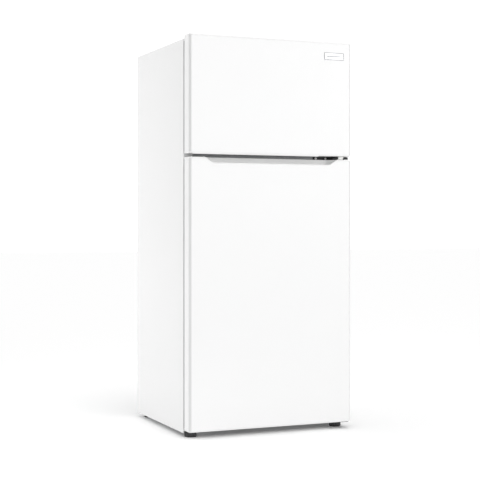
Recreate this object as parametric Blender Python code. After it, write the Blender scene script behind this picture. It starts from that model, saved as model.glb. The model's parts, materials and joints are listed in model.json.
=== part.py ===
"""Top-freezer refrigerator as separate parts: metres, +Z up, doors facing -Y, hinges on the +X side.

The origin is on the floor, under the centre of the whole object's box.
"""

import math

import bmesh
import bpy
import numpy as np
from mathutils import Vector

# Driving dimensions of the outside
WIDTH = 0.760
CABINET_DEPTH = 0.617
DOOR_THICKNESS = 0.060
SEAL_DEPTH = 0.010
BADGE_RELIEF = 0.0016
CABINET_BASE = 0.018
CABINET_TOP = 1.679
FRIDGE_DOOR_BOTTOM = 0.030
FRIDGE_DOOR_TOP = 1.1795
FREEZER_DOOR_BOTTOM = 1.195
FREEZER_DOOR_TOP = 1.693
DOOR_EDGE_RADIUS = 0.012

# Sheet and wall thicknesses, and the clearance between pieces that touch
SHEET = 0.001
LINER = 0.0015
DOOR_LINER = 0.002
BIN_WALL = 0.0025
WALL = 0.048
GAP = 0.0003

# Inside layout
FLANGE = 0.040
RAIL_BOTTOM = 0.0295
RAIL_TOP = 0.0615
FLOOR_PLATE_Z = 0.062
FRIDGE_FLOOR = 0.108
FRIDGE_CEILING = 1.148
FREEZER_FLOOR = 1.222
FREEZER_CEILING = 1.625
BACK_WALL = 0.055
FREEZER_BACK_WALL = 0.060
MULLION_LOW = 1.150
MULLION_HIGH = 1.218
MACHINE_DEPTH = 0.185
MACHINE_TOP = 0.270
STEP_WALL = 0.040
SHELF_SETBACK = 0.125
SHELF_HEIGHTS = {"lower": 0.580, "upper": 0.860}
SHELF_GLASS = 0.006
LEDGE_REACH = 0.010
CRISPER_SETBACK = 0.105
CRISPER_TOP = 0.296
CRISPER_COVER_Z = 0.302
FREEZER_SHELF_Z = 1.430

FAN_Z = 1.530

# Hinges and their pins
PIN_INSET_SIDE = 0.026
PIN_INSET_REAR = 0.034
PIN_RADIUS = 0.004
PIN_DEPTH = 0.020
BUSH_RADIUS = 0.008
BUSH_DEPTH = 0.024
RUNNING_GAP = 0.0006
PLATE = 0.003
MIDDLE_PLATE = 0.004
PLATE_REACH = 0.012
HINGE_X_LOW = 0.336
HINGE_X_HIGH = 0.372
MIDDLE_PLATE_Z = 1.1835
BOTTOM_PLATE_Z = 0.0262
HINGE_COVER_TOP = 1.7035
CAM_RADIUS = 0.011

# Feet, rollers and the machine compartment
FOOT_X = 0.343
FOOT_SETBACK = 0.014
FOOT_RADIUS = 0.026
FOOT_HEIGHT = 0.0255
STEM_RADIUS = 0.0058
STEM_TOP = 0.056
ROLLER_X = 0.352
ROLLER_SETBACK = 0.050
ROLLER_RADIUS = 0.016
ROLLER_HALF_WIDTH = 0.009
BASE_PAN_Z = 0.036
COMPRESSOR_X = 0.190
COIL_LEFT = -0.325
COIL_RIGHT = 0.045
COIL_PASSES = 7
COIL_PITCH = 0.026
COIL_LOW = 0.080
COIL_RADIUS = 0.0035

# Door furniture
CAP_LIP = 0.0065
CAP_PLUG = 0.028
CAP_EDGE_RADIUS = 0.003
HANDLE_PLUG = 0.056
RECESS_HALF_LENGTH = 0.320
RECESS_HALF_FLAT = 0.268
RECESS_LIP_DROP = 0.0245
RECESS_LIP_DEPTH = 0.004
RECESS_END_REACH = 0.006
RECESS_REACH = 0.036
TROUGH_DEPTH = 0.014
GRIP_LEFT = -0.300
GRIP_RIGHT = 0.220
GRIP_NEAR = 0.014
GRIP_FAR = 0.036
GRIP_DEPTH = 0.014
RIB_INNER = 0.292
RIB_THICKNESS = 0.014
RIB_DEPTH = 0.060
RIBS_FREEZER = (1.240, 1.615)
RIBS_FRIDGE = (0.330, 1.080)
SEAL_WIDTH = 0.012
SEAL_INSET = 0.010
FREEZER_BINS = {"lower": 1.262, "upper": 1.445}
BADGE_X = 0.296
BADGE_DROP = 0.062
BADGE_HALF_WIDTH = 0.047
BADGE_HALF_HEIGHT = 0.0155
BADGE_BORDER = 0.003
BADGE_FACE = 0.0009
DAIRY_HINGE_Z = 1.037
DAIRY_REACH = 0.094

# Places worked out from the dimensions above
HALF = WIDTH / 2
BACK = (BADGE_RELIEF + DOOR_THICKNESS + SEAL_DEPTH + CABINET_DEPTH) / 2
FACE = BACK - CABINET_DEPTH
DOOR_REAR = FACE - SEAL_DEPTH
FRONT = DOOR_REAR - DOOR_THICKNESS
SKIN_REAR = DOOR_REAR - DOOR_LINER - GAP
PIN_X = HALF - PIN_INSET_SIDE
PIN_Y = DOOR_REAR - PIN_INSET_REAR
CAVITY = HALF - WALL
FOAM_FACE = FACE + LINER + 2 * GAP
INSIDE = HALF - SHEET - GAP
STEP_Y = BACK - MACHINE_DEPTH
STEP_FACE = STEP_Y - STEP_WALL
STEP_TOP = MACHINE_TOP + STEP_WALL
FRIDGE_REAR = BACK - BACK_WALL
FREEZER_REAR = BACK - FREEZER_BACK_WALL
ROOM = CAVITY - GAP - LINER
BIN_EDGE = RIB_INNER - 0.003
FOOT_Y = FACE + FOOT_SETBACK
ROLLER_Y = BACK - ROLLER_SETBACK
TOP_PLATE_Z = FREEZER_DOOR_TOP + 0.0007
MACHINE_Y = (STEP_Y + SHEET + BACK) / 2
GLAND = (0.300, BACK - 0.005, 0.200)
COVER_Y = FREEZER_REAR - GAP - LINER - 0.066
FAN = (0.0, COVER_Y + 0.014, FAN_Z)
CONTROL_LOW = (0.030, FACE + 0.030, 1.088)
CONTROL_HIGH = (0.285, FACE + 0.260, FRIDGE_CEILING - GAP - LINER - 0.0005)
KNOB = (0.110, CONTROL_LOW[1], 1.118)
SWITCH = (0.240, CONTROL_LOW[1], 1.118)
LAMP_LOW = (0.060, FACE + 0.080)
LAMP_HIGH = (0.255, FACE + 0.230)
DAIRY_PIVOT = (DOOR_REAR + 0.006, DAIRY_HINGE_Z)

# Larger than anything here, for cuts that run right through; and the sides of a turned body
FAR = 1.0
ROUND = 24


def clear_scene():
    for item in list(bpy.data.objects):
        bpy.data.objects.remove(item, do_unlink=True)


# ---------------------------------------------------------------- materials

COLOURS = {
    "white_enamel": ((0.90, 0.90, 0.90), 0.32, 0.0),
    "white_plastic": ((0.88, 0.88, 0.87), 0.40, 0.0),
    "liner_plastic": ((0.86, 0.87, 0.88), 0.35, 0.0),
    "clear_plastic": ((0.80, 0.86, 0.90), 0.12, 0.0),
    "shelf_glass": ((0.75, 0.88, 0.84), 0.05, 0.0),
    "seal_rubber": ((0.55, 0.56, 0.57), 0.80, 0.0),
    "foam": ((0.86, 0.74, 0.42), 0.90, 0.0),
    "galvanised_steel": ((0.62, 0.64, 0.65), 0.42, 0.9),
    "black_steel": ((0.02, 0.02, 0.02), 0.45, 0.4),
    "zinc_steel": ((0.70, 0.70, 0.70), 0.35, 0.9),
    "nylon": ((0.88, 0.88, 0.86), 0.50, 0.0),
    "foot_plastic": ((0.05, 0.05, 0.055), 0.55, 0.0),
    "compressor_black": ((0.015, 0.015, 0.017), 0.38, 0.2),
    "copper": ((0.78, 0.42, 0.26), 0.35, 1.0),
    "aluminium": ((0.80, 0.81, 0.82), 0.35, 0.9),
    "badge_metal": ((0.66, 0.67, 0.69), 0.30, 0.8),
}


def material(name):
    if name in bpy.data.materials:
        return bpy.data.materials[name]
    colour, roughness, metallic = COLOURS[name]
    made = bpy.data.materials.new(name)
    made.use_nodes = True
    made.diffuse_color = (*colour, 1.0)
    shader = made.node_tree.nodes["Principled BSDF"]
    shader.inputs["Base Color"].default_value = (*colour, 1.0)
    shader.inputs["Roughness"].default_value = roughness
    shader.inputs["Metallic"].default_value = metallic
    return made


# ------------------------------------------------------------ building tools


def pivot(name, place):
    """An empty on a joint's axis, which the pieces of one moving body are parented to."""
    empty = bpy.data.objects.new(name, None)
    empty.location = place
    empty.empty_display_size = 0.05
    bpy.context.collection.objects.link(empty)
    return empty


def place_mesh(name, finish, bm, origin, parent):
    """A mesh made in world coordinates becomes an object with its origin at the given place."""
    bmesh.ops.translate(bm, verts=bm.verts, vec=-Vector(origin))
    bmesh.ops.recalc_face_normals(bm, faces=bm.faces)
    mesh = bpy.data.meshes.new(name)
    bm.to_mesh(mesh)
    bm.free()
    if finish:
        mesh.materials.append(material(finish))
    made = bpy.data.objects.new(name, mesh)
    made.location = Vector(origin) - (parent.location if parent else Vector())
    made.parent = parent
    bpy.context.collection.objects.link(made)
    return made


def blocks(name, finish, steps, origin=(0, 0, 0), parent=None):
    """A closed body of square blocks: each step (sign, low corner, high corner) adds or removes a box."""
    lines = []
    for axis in range(3):
        ends = [value for _, low, high in steps for value in (low[axis], high[axis])]
        lines.append(np.unique(np.round(ends, 7)))
    middles = [(line[:-1] + line[1:]) / 2 for line in lines]
    grid = np.meshgrid(*middles, indexing="ij")
    filled = np.zeros(grid[0].shape, bool)
    for sign, low, high in steps:
        inside = np.ones_like(filled)
        for axis in range(3):
            inside &= (grid[axis] > low[axis]) & (grid[axis] < high[axis])
        filled[inside] = sign > 0
    bm = bmesh.new()
    corners = {}

    def corner(index):
        if index not in corners:
            corners[index] = bm.verts.new([lines[a][index[a]] for a in range(3)])
        return corners[index]

    padded = np.pad(filled, 1)
    for cell in map(tuple, np.argwhere(filled)):
        for axis in range(3):
            for side in (0, 1):
                beside = [c + 1 for c in cell]
                beside[axis] += 2 * side - 1
                if padded[tuple(beside)]:
                    continue
                loop = []
                for u, v in ((0, 0), (1, 0), (1, 1), (0, 1)):
                    index = list(cell)
                    index[axis] += side
                    index[(axis + 1) % 3] += u
                    index[(axis + 2) % 3] += v
                    loop.append(corner(tuple(index)))
                bm.faces.new(loop if side else loop[::-1])
    bmesh.ops.dissolve_limit(bm, angle_limit=0.001, verts=bm.verts, edges=bm.edges)
    return place_mesh(name, finish, bm, origin, parent)


def loft(name, finish, rings, origin=(0, 0, 0), parent=None, ring_shaped=False):
    """A closed body through rings of points: capped at both ends, or joined last to first."""
    bm = bmesh.new()
    rows = [[bm.verts.new(point) for point in ring] for ring in rings]
    count = len(rows[0])
    pairs = list(zip(rows, rows[1:] + rows[:1] if ring_shaped else rows[1:]))
    for below, above in pairs:
        for k in range(count):
            n = (k + 1) % count
            bm.faces.new((below[k], below[n], above[n], above[k]))
    if not ring_shaped:
        bm.faces.new(rows[0][::-1])
        bm.faces.new(rows[-1])
    return place_mesh(name, finish, bm, origin, parent)


def turned(name, finish, profile, centre, axis="Z", parent=None, bored=False, sides=ROUND):
    """A body turned about an axis through the centre: profile points are (radius, distance along it)."""
    turn = {"Z": (0, 1, 2), "X": (1, 2, 0), "Y": (2, 0, 1)}[axis]
    rings = []
    for radius, along in profile:
        ring = []
        for k in range(sides):
            angle = 2 * math.pi * k / sides
            local = (radius * math.cos(angle), radius * math.sin(angle), along)
            point = [0, 0, 0]
            for source, target in enumerate(turn):
                point[target] = local[source] + centre[target]
            ring.append(point)
        rings.append(ring)
    made = loft(name, finish, rings, centre, parent, ring_shaped=bored)
    made.data.shade_smooth()
    made.data.set_sharp_from_angle(angle=math.radians(35))
    return made


def cylinder(name, finish, radius, low, high, centre, axis="Z", **more):
    return turned(name, finish, [(radius, low), (radius, high)], centre, axis, **more)


def combine(target, operation, *tools):
    """Joins or cuts the target with helper shapes, which stay out of the model."""
    for tool in tools:
        tool.hide_render = True
        tool.display_type = "WIRE"
        tool.name = target.name + "." + tool.name
        change = target.modifiers.new(tool.name, "BOOLEAN")
        change.object = tool
        change.operation = operation
        change.solver = "EXACT"
    return target


def fillet_angles(steps=6):
    return [math.pi / 2 * k / steps for k in range(steps + 1)]


def door_outline(inset, rear):
    """The door's plan from its left rear corner round the two rounded front edges, as (x, y) points."""
    radius = DOOR_EDGE_RADIUS - inset
    x = HALF - inset - radius
    y = FRONT + inset + radius
    left = [(-x - radius * math.cos(a), y - radius * math.sin(a)) for a in fillet_angles()]
    right = [(-u, v) for u, v in left[::-1]]
    return [(-HALF + inset, rear), *left, *right, (HALF - inset, rear)]


def at_height(outline, z):
    return [(x, y, z) for x, y in outline]


# -------------------------------------------------------------- cabinet body


def make_cabinet_shell():
    """One folded steel sheet: both sides, the top and the narrow return flanges round the front."""
    blocks("cabinet_shell", "white_enamel", [
        (1, (-HALF, FACE, CABINET_BASE), (HALF, BACK, CABINET_TOP)),
        (-1, (-HALF + SHEET, FACE + SHEET, 0), (HALF - SHEET, FAR, CABINET_TOP - SHEET)),
        (-1, (-HALF + FLANGE, -FAR, 0), (HALF - FLANGE, FAR, CABINET_TOP - FLANGE)),
        (-1, (-HALF + SHEET, -FAR, 0), (HALF - SHEET, FAR, RAIL_BOTTOM)),
        (1, (-HALF, FACE + SHEET, CABINET_TOP - SHEET), (HALF, BACK, CABINET_TOP)),
    ])


def make_back_panel():
    blocks("back_panel", "galvanised_steel", [
        (1, (-INSIDE, BACK - SHEET, MACHINE_TOP), (INSIDE, BACK, CABINET_TOP - SHEET - GAP)),
    ])


def make_bottom_plate():
    """The stepped sheet under the insulation, which also roofs the machine compartment."""
    blocks("bottom_plate", "galvanised_steel", [
        (1, (-INSIDE, FACE + 0.004, FLOOR_PLATE_Z), (INSIDE, STEP_Y, FLOOR_PLATE_Z + SHEET)),
        (1, (-INSIDE, STEP_Y, FLOOR_PLATE_Z), (INSIDE, STEP_Y + SHEET, MACHINE_TOP - GAP)),
        (1, (-INSIDE, STEP_Y, MACHINE_TOP - GAP - SHEET), (INSIDE, BACK - 0.002, MACHINE_TOP - GAP)),
    ])


def make_cabinet_foam():
    """Foamed-in-place insulation: five walls, the divider between compartments and the rear step."""
    low = FLOOR_PLATE_Z + SHEET + GAP
    high = CABINET_TOP - SHEET - GAP
    blocks("cabinet_foam", "foam", [
        (1, (-INSIDE + GAP, FOAM_FACE, low), (INSIDE - GAP, BACK - SHEET - GAP, high)),
        (-1, (-FAR, STEP_Y - GAP, 0), (FAR, FAR, MACHINE_TOP + GAP)),
        (-1, (-CAVITY, -FAR, FREEZER_FLOOR), (CAVITY, FREEZER_REAR, FREEZER_CEILING)),
        (-1, (-CAVITY, -FAR, STEP_TOP), (CAVITY, FRIDGE_REAR, FRIDGE_CEILING)),
        (-1, (-CAVITY, -FAR, FRIDGE_FLOOR), (CAVITY, STEP_FACE, STEP_TOP)),
    ])


def front_frame(low, high, outer_low, outer_high):
    """Steps for a liner's front flange: four strips between its mouth and the cabinet's own flange."""
    edge = HALF - FLANGE - GAP
    mouth = CAVITY - GAP
    rear = FACE + LINER
    return [
        (1, (-edge, FACE, outer_low), (edge, rear, low)),
        (1, (-edge, FACE, high), (edge, rear, outer_high)),
        (1, (-edge, FACE, low), (-mouth + LINER, rear, high)),
        (1, (mouth - LINER, FACE, low), (edge, rear, high)),
    ]


def ledges(z, front, rear):
    """Two moulded rails that a shelf rests on."""
    return [
        (1, (-ROOM, front, z - 0.010), (-ROOM + LEDGE_REACH, rear, z - GAP)),
        (1, (ROOM - LEDGE_REACH, front, z - 0.010), (ROOM, rear, z - GAP)),
    ]


def make_freezer_liner():
    low = FREEZER_FLOOR + GAP
    high = FREEZER_CEILING - GAP
    rear = FREEZER_REAR - GAP
    side = CAVITY - GAP
    blocks("freezer_liner", "liner_plastic", [
        (1, (-side, FACE, low), (side, rear, high)),
        (-1, (-ROOM, -FAR, low + LINER), (ROOM, rear - LINER, high - LINER)),
        *front_frame(low + LINER, high - LINER, MULLION_HIGH + GAP, CABINET_TOP - FLANGE - GAP),
        *ledges(FREEZER_SHELF_Z, FACE + 0.080, rear - LINER - 0.075),
    ])


def make_fridge_liner():
    low = FRIDGE_FLOOR + GAP
    high = FRIDGE_CEILING - GAP
    rear = FRIDGE_REAR - GAP
    side = CAVITY - GAP
    step = STEP_TOP + GAP
    steps = [
        (1, (-side, FACE, low), (side, STEP_FACE - GAP, high)),
        (1, (-side, FACE, step), (side, rear, high)),
        (-1, (-ROOM, -FAR, low + LINER), (ROOM, STEP_FACE - GAP - LINER, high - LINER)),
        (-1, (-ROOM, -FAR, step + LINER), (ROOM, rear - LINER, high - LINER)),
        *front_frame(low + LINER, high - LINER, RAIL_TOP + 4 * GAP, MULLION_LOW - GAP),
    ]
    for z in SHELF_HEIGHTS.values():
        steps += ledges(z, FACE + SHELF_SETBACK, rear - LINER)
    steps += ledges(CRISPER_COVER_Z, FACE + CRISPER_SETBACK, STEP_FACE - GAP - LINER)
    blocks("fridge_liner", "liner_plastic", steps)


def make_mullion_rail():
    edge = HALF - FLANGE - GAP
    blocks("mullion_rail", "galvanised_steel", [
        (1, (-edge, FACE, MULLION_LOW), (edge, FACE + SHEET, MULLION_HIGH)),
    ])


def make_front_rail():
    """The channel across the front of the base, which the feet screw into."""
    front = FACE + SHEET + GAP
    rear = FACE + 0.050
    wall = 0.002
    rail = blocks("front_rail", "black_steel", [
        (1, (-INSIDE, front, RAIL_BOTTOM), (INSIDE, rear, RAIL_TOP)),
        (-1, (-FAR, front + wall, RAIL_BOTTOM + wall), (FAR, FAR, RAIL_TOP - wall)),
    ])
    for side in (-1, 1):
        hole = cylinder("foot_hole", None, 0.0064, -0.01, 0.01, (side * FOOT_X, FOOT_Y, RAIL_BOTTOM))
        combine(rail, "DIFFERENCE", hole)


# ------------------------------------------------------------- feet, rollers

def make_front_foot(side, x):
    place = (x, FOOT_Y, 0)
    foot = pivot(f"front_foot_{side}_slide", place)
    profile = [
        (0.0235, 0.0), (FOOT_RADIUS, 0.003), (FOOT_RADIUS - 0.001, 0.012), (FOOT_RADIUS, 0.021),
        (0.0225, FOOT_HEIGHT), (STEM_RADIUS, FOOT_HEIGHT), (STEM_RADIUS, STEM_TOP),
    ]
    turned(f"front_foot_{side}", "foot_plastic", profile, place, parent=foot)


def make_rear_roller(side, x):
    centre = (x, ROLLER_Y, ROLLER_RADIUS)
    half_width = ROLLER_HALF_WIDTH
    axle_radius = 0.003
    bore = axle_radius + RUNNING_GAP
    rim = ROLLER_RADIUS
    profile = [
        (bore, -half_width), (bore, half_width), (rim - 0.002, half_width),
        (rim, half_width - 0.002), (rim, -half_width + 0.002), (rim - 0.002, -half_width),
    ]
    spin = pivot(f"rear_roller_{side}_spin", centre)
    turned(f"rear_roller_{side}", "foot_plastic", profile, centre, "X", parent=spin, bored=True)
    outer = half_width + 0.0045
    inner = half_width + 0.002
    top = BASE_PAN_Z - GAP
    y = ROLLER_Y
    bracket = blocks(f"rear_roller_bracket_{side}", "zinc_steel", [
        (1, (x - outer, y - 0.014, 0.008), (x + outer, y + 0.014, top)),
        (-1, (x - inner, -FAR, 0), (x + inner, FAR, top - 0.002)),
    ])
    axle = cylinder("axle", None, axle_radius, -outer - 0.002, outer + 0.002, centre, "X", sides=16)
    combine(bracket, "UNION", axle)


# ------------------------------------------------------------------- hinges

def make_top_hinge_bracket():
    """A stepped plate from the cabinet's top over the freezer door, with its pin pointing down."""
    foot = CABINET_TOP + GAP
    riser = FACE + 0.012
    bracket = blocks("top_hinge_bracket", "zinc_steel", [
        (1, (HINGE_X_LOW, riser, foot), (HINGE_X_HIGH, FACE + 0.075, foot + PLATE)),
        (1, (HINGE_X_LOW, riser, foot), (HINGE_X_HIGH, riser + PLATE, TOP_PLATE_Z + PLATE)),
        (1, (HINGE_X_LOW, PIN_Y - PLATE_REACH, TOP_PLATE_Z),
         (HINGE_X_HIGH, riser + PLATE, TOP_PLATE_Z + PLATE)),
    ])
    pin = cylinder("pin", None, PIN_RADIUS, -PIN_DEPTH, 0.002, (PIN_X, PIN_Y, TOP_PLATE_Z), sides=20)
    combine(bracket, "UNION", pin)


def make_top_hinge_cover():
    low = (0.320, FACE + 0.003, CABINET_TOP + GAP)
    high = (0.379, FACE + 0.090, HINGE_COVER_TOP)
    wall = 0.002
    blocks("top_hinge_cover", "white_plastic", [
        (1, low, high),
        (-1, (low[0] + wall, low[1] + wall, 0), tuple(value - wall for value in high)),
        (-1, (HINGE_X_LOW - 0.002, -FAR, 1.6905), (HINGE_X_HIGH + 0.002, low[1] + wall, 1.6985)),
    ])


def make_middle_hinge():
    """A black angle screwed to the divider, with one pin up into the freezer door and one down."""
    rear = FACE - GAP
    z = MIDDLE_PLATE_Z
    flange_low = FRIDGE_DOOR_TOP + 0.0015
    flange_high = FREEZER_DOOR_BOTTOM - 0.0015
    bracket = blocks("middle_hinge_bracket", "black_steel", [
        (1, (0.226, rear - 0.0025, flange_low), (0.366, rear, flange_high)),
        (1, (0.300, PIN_Y - PLATE_REACH, z), (HINGE_X_HIGH, rear, z + MIDDLE_PLATE)),
    ])
    pin_top = MIDDLE_PLATE + 0.004 + PIN_DEPTH
    pin = cylinder("pins", None, PIN_RADIUS, -PIN_DEPTH, pin_top, (PIN_X, PIN_Y, z), sides=20)
    combine(bracket, "UNION", pin)
    low = z + MIDDLE_PLATE + GAP
    high = FREEZER_DOOR_BOTTOM - 0.0005
    ends = []
    for k in range(25):
        angle = -math.pi / 2 + math.pi * k / 24
        ends.append((PIN_X + CAM_RADIUS * math.cos(angle), PIN_Y + CAM_RADIUS * math.sin(angle)))
    outline = ends + [(2 * PIN_X - CAM_RADIUS - x, 2 * PIN_Y - y) for x, y in ends]
    cam = loft("middle_hinge_cam", "nylon", [at_height(outline, low), at_height(outline, high)])
    hole = cylinder("hole", None, PIN_RADIUS + RUNNING_GAP, -0.02, 0.02, (PIN_X, PIN_Y, low))
    combine(cam, "DIFFERENCE", hole)


def make_bottom_hinge_bracket():
    z = BOTTOM_PLATE_Z
    bracket = blocks("bottom_hinge_bracket", "black_steel", [
        (1, (0.305, PIN_Y - PLATE_REACH, z), (HINGE_X_HIGH + 0.002, FACE + 0.048, z + PLATE)),
    ])
    pin = cylinder("pin", None, PIN_RADIUS, 0.001, 0.022, (PIN_X, PIN_Y, z), sides=20)
    combine(bracket, "UNION", pin)
    hole = cylinder("stem_hole", None, 0.0072, -0.01, 0.01, (FOOT_X, FOOT_Y, z))
    combine(bracket, "DIFFERENCE", hole)


# ------------------------------------------------------ machine compartment

def make_base_pan():
    front = STEP_Y + 0.004
    rear = BACK - 0.008
    z = BASE_PAN_Z
    blocks("base_pan", "galvanised_steel", [
        (1, (-INSIDE, front, z), (INSIDE, rear, z + 0.0015)),
        (1, (-INSIDE, front, z), (INSIDE, front + 0.0015, z + 0.022)),
    ])


def make_compressor():
    """A welded pot on a mounting plate with four feet."""
    x = COMPRESSOR_X
    y = MACHINE_Y
    base = BASE_PAN_Z + 0.0018
    pot_low = base + 0.020
    rings = [
        (0.040, 0), (0.062, 0.010), (0.072, 0.030), (0.073, 0.080), (0.075, 0.082),
        (0.075, 0.088), (0.072, 0.090), (0.068, 0.120), (0.055, 0.140), (0.030, 0.152),
    ]
    profile = [(radius, pot_low + height) for radius, height in rings]
    pot = turned("compressor", "compressor_black", profile, (x, y, 0))
    plate = blocks("plate", None, [
        (1, (x - 0.090, y - 0.052, pot_low - 0.001), (x + 0.090, y + 0.052, pot_low + 0.003)),
    ])
    combine(pot, "UNION", plate)
    for dx in (-0.078, 0.078):
        for dy in (-0.042, 0.042):
            foot = cylinder("foot", None, 0.009, base, pot_low + 0.001, (x + dx, y + dy, 0), sides=16)
            combine(pot, "UNION", foot)


def make_condenser_coil():
    """One tube in level passes joined by half-round bends."""
    points = []
    for row in range(COIL_PASSES):
        z = COIL_LOW + row * COIL_PITCH
        start, end = (COIL_LEFT, COIL_RIGHT) if row % 2 == 0 else (COIL_RIGHT, COIL_LEFT)
        points += [(start, z), (end, z)]
        if row == COIL_PASSES - 1:
            continue
        bend = COIL_PITCH / 2
        outward = bend if end == COIL_RIGHT else -bend
        for k in range(1, 5):
            angle = -math.pi / 2 + math.pi * k / 5
            points.append((end + outward * math.cos(angle), z + bend + bend * math.sin(angle)))
    curve = bpy.data.curves.new("condenser_coil", "CURVE")
    curve.dimensions = "3D"
    curve.bevel_depth = COIL_RADIUS
    curve.bevel_resolution = 2
    curve.use_fill_caps = True
    spline = curve.splines.new("POLY")
    spline.points.add(len(points) - 1)
    for point, (x, z) in zip(spline.points, points):
        point.co = (x, 0, z, 1)
    curve.materials.append(material("copper"))
    coil = bpy.data.objects.new("condenser_coil", curve)
    coil.location = (0, MACHINE_Y + 0.02, 0)
    bpy.context.collection.objects.link(coil)


def make_drip_tray():
    low = (-0.345, STEP_Y + 0.020, BASE_PAN_Z + 0.0018)
    high = (0.070, BACK - 0.015, BASE_PAN_Z + 0.034)
    wall = 0.002
    blocks("drip_tray", "foot_plastic", [
        (1, low, high),
        (-1, tuple(value + wall for value in low), (high[0] - wall, high[1] - wall, FAR)),
    ])


def make_machine_cover():
    """The slotted cover over the machine compartment, set in from the back of the cabinet."""
    rear = BACK - 0.0040
    front = rear - 0.0015
    steps = [(1, (-INSIDE + 0.002, front, 0.028), (INSIDE - 0.002, rear, MACHINE_TOP - 0.006))]
    for column in range(6):
        for row in range(5):
            x = -0.330 + column * 0.095
            z = 0.070 + row * 0.034
            steps.append((-1, (x, -FAR, z), (x + 0.070, FAR, z + 0.010)))
    cover = blocks("machine_cover", "galvanised_steel", steps)
    hole = cylinder("gland_hole", None, 0.0093, -0.01, 0.01, GLAND, "Y")
    combine(cover, "DIFFERENCE", hole)


def make_power_inlet_gland():
    """A flanged bush in the machine cover that the supply lead would come out of."""
    bore, neck, flange = 0.0050, 0.0090, 0.0130
    profile = [
        (bore, -0.006), (bore, 0.0040), (flange, 0.0040), (flange, 0.0013), (neck, 0.0013), (neck, -0.006),
    ]
    turned("power_inlet_gland", "foot_plastic", profile, GLAND, "Y", bored=True)


# ---------------------------------------------------------- freezer inside

def make_evaporator():
    """Upright fins on three square runs of tube."""
    front = COVER_Y + 0.012
    rear = COVER_Y + 0.056
    steps = []
    for z in (1.270, 1.325, 1.380):
        steps.append((1, (-0.230, front + 0.018, z), (0.230, front + 0.026, z + 0.008)))
    for fin in range(13):
        x = -0.216 + fin * 0.036
        steps.append((1, (x - 0.0006, front, 1.250), (x + 0.0006, rear, 1.405)))
    blocks("evaporator", "aluminium", steps)


def make_evaporator_cover():
    """The panel in front of the evaporator, with the fan's outlet above and return slots below."""
    low = FREEZER_FLOOR + GAP + LINER + 0.0005
    high = FREEZER_CEILING - GAP - LINER - 0.0005
    steps = [(1, (-ROOM + 0.0005, COVER_Y, low), (ROOM - 0.0005, COVER_Y + 0.003, high))]
    for row in range(6):
        z = FAN[2] - 0.043 + row * 0.015
        steps.append((-1, (-0.048, -FAR, z), (0.048, FAR, z + 0.010)))
    for slot in range(9):
        x = -0.250 + slot * 0.058
        steps.append((-1, (x, -FAR, low + 0.012), (x + 0.040, FAR, low + 0.020)))
    blocks("evaporator_cover", "liner_plastic", steps)


def make_fan():
    """A motor on the rear wall, and a four-bladed fan that turns on its shaft."""
    shaft = 0.002
    motor = [(0.006, 0.012), (0.024, 0.014), (0.026, 0.020), (0.026, 0.046), (0.020, 0.048)]
    body = turned("evaporator_fan_motor", "galvanised_steel", motor, FAN, "Y")
    stub = cylinder("shaft", None, shaft, -0.004, 0.014, FAN, "Y", sides=16)
    combine(body, "UNION", stub)
    spin = pivot("evaporator_fan_spin", FAN)
    bore = shaft + RUNNING_GAP
    hub = [(bore, -0.006), (bore, 0.010), (0.012, 0.010), (0.012, -0.003), (0.009, -0.006)]
    fan = turned("evaporator_fan_blade", "white_plastic", hub, FAN, "Y", parent=spin, bored=True)
    for blade in range(4):
        combine(fan, "UNION", fan_blade(math.pi / 2 * blade))


def fan_blade(heading):
    rings = []
    for radius, half_chord, pitch in ((0.008, 0.007, 0.55), (0.026, 0.013, 0.45), (0.044, 0.016, 0.35)):
        ring = []
        for along, thick in ((-1, -1), (1, -1), (1, 1), (-1, 1)):
            u = along * half_chord
            v = thick * 0.0009
            across = u * math.cos(pitch) - v * math.sin(pitch)
            depth = u * math.sin(pitch) + v * math.cos(pitch)
            x = radius * math.cos(heading) - across * math.sin(heading)
            z = radius * math.sin(heading) + across * math.cos(heading)
            ring.append((FAN[0] + x, FAN[1] + 0.002 + depth, FAN[2] + z))
        rings.append(ring)
    return loft("blade", None, rings)


def make_freezer_shelf():
    """A flat wire shelf: a rim with cross wires from front to back."""
    front = FACE + 0.110
    rear = COVER_Y - 0.006
    edge = ROOM - 0.002
    z = FREEZER_SHELF_Z
    rim = 0.007
    steps = [
        (1, (-edge, front, z), (edge, rear, z + 0.006)),
        (-1, (-edge + rim, front + rim, 0), (edge - rim, rear - rim, FAR * 2)),
        (1, (-edge + rim, (front + rear) / 2, z), (edge - rim, (front + rear) / 2 + 0.005, z + 0.006)),
    ]
    for wire in range(17):
        x = -0.304 + wire * 0.038
        steps.append((1, (x - 0.0015, front + rim, z + 0.001), (x + 0.0015, rear - rim, z + 0.005)))
    blocks("freezer_shelf", "white_enamel", steps)


# ----------------------------------------------------------- fridge inside


def make_fridge_shelves():
    edge = ROOM - 0.002
    rear = FRIDGE_REAR - GAP - LINER - 0.010
    for level, z in SHELF_HEIGHTS.items():
        front = FACE + SHELF_SETBACK
        blocks(f"fridge_shelf_{level}", "shelf_glass", [
            (1, (-edge, front, z), (edge, rear, z + SHELF_GLASS)),
        ])
    front = FACE + CRISPER_SETBACK
    rear = STEP_FACE - GAP - LINER - 0.001
    z = CRISPER_COVER_Z
    blocks("crisper_cover", "shelf_glass", [(1, (-edge, front, z), (edge, rear, z + SHELF_GLASS))])


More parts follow.
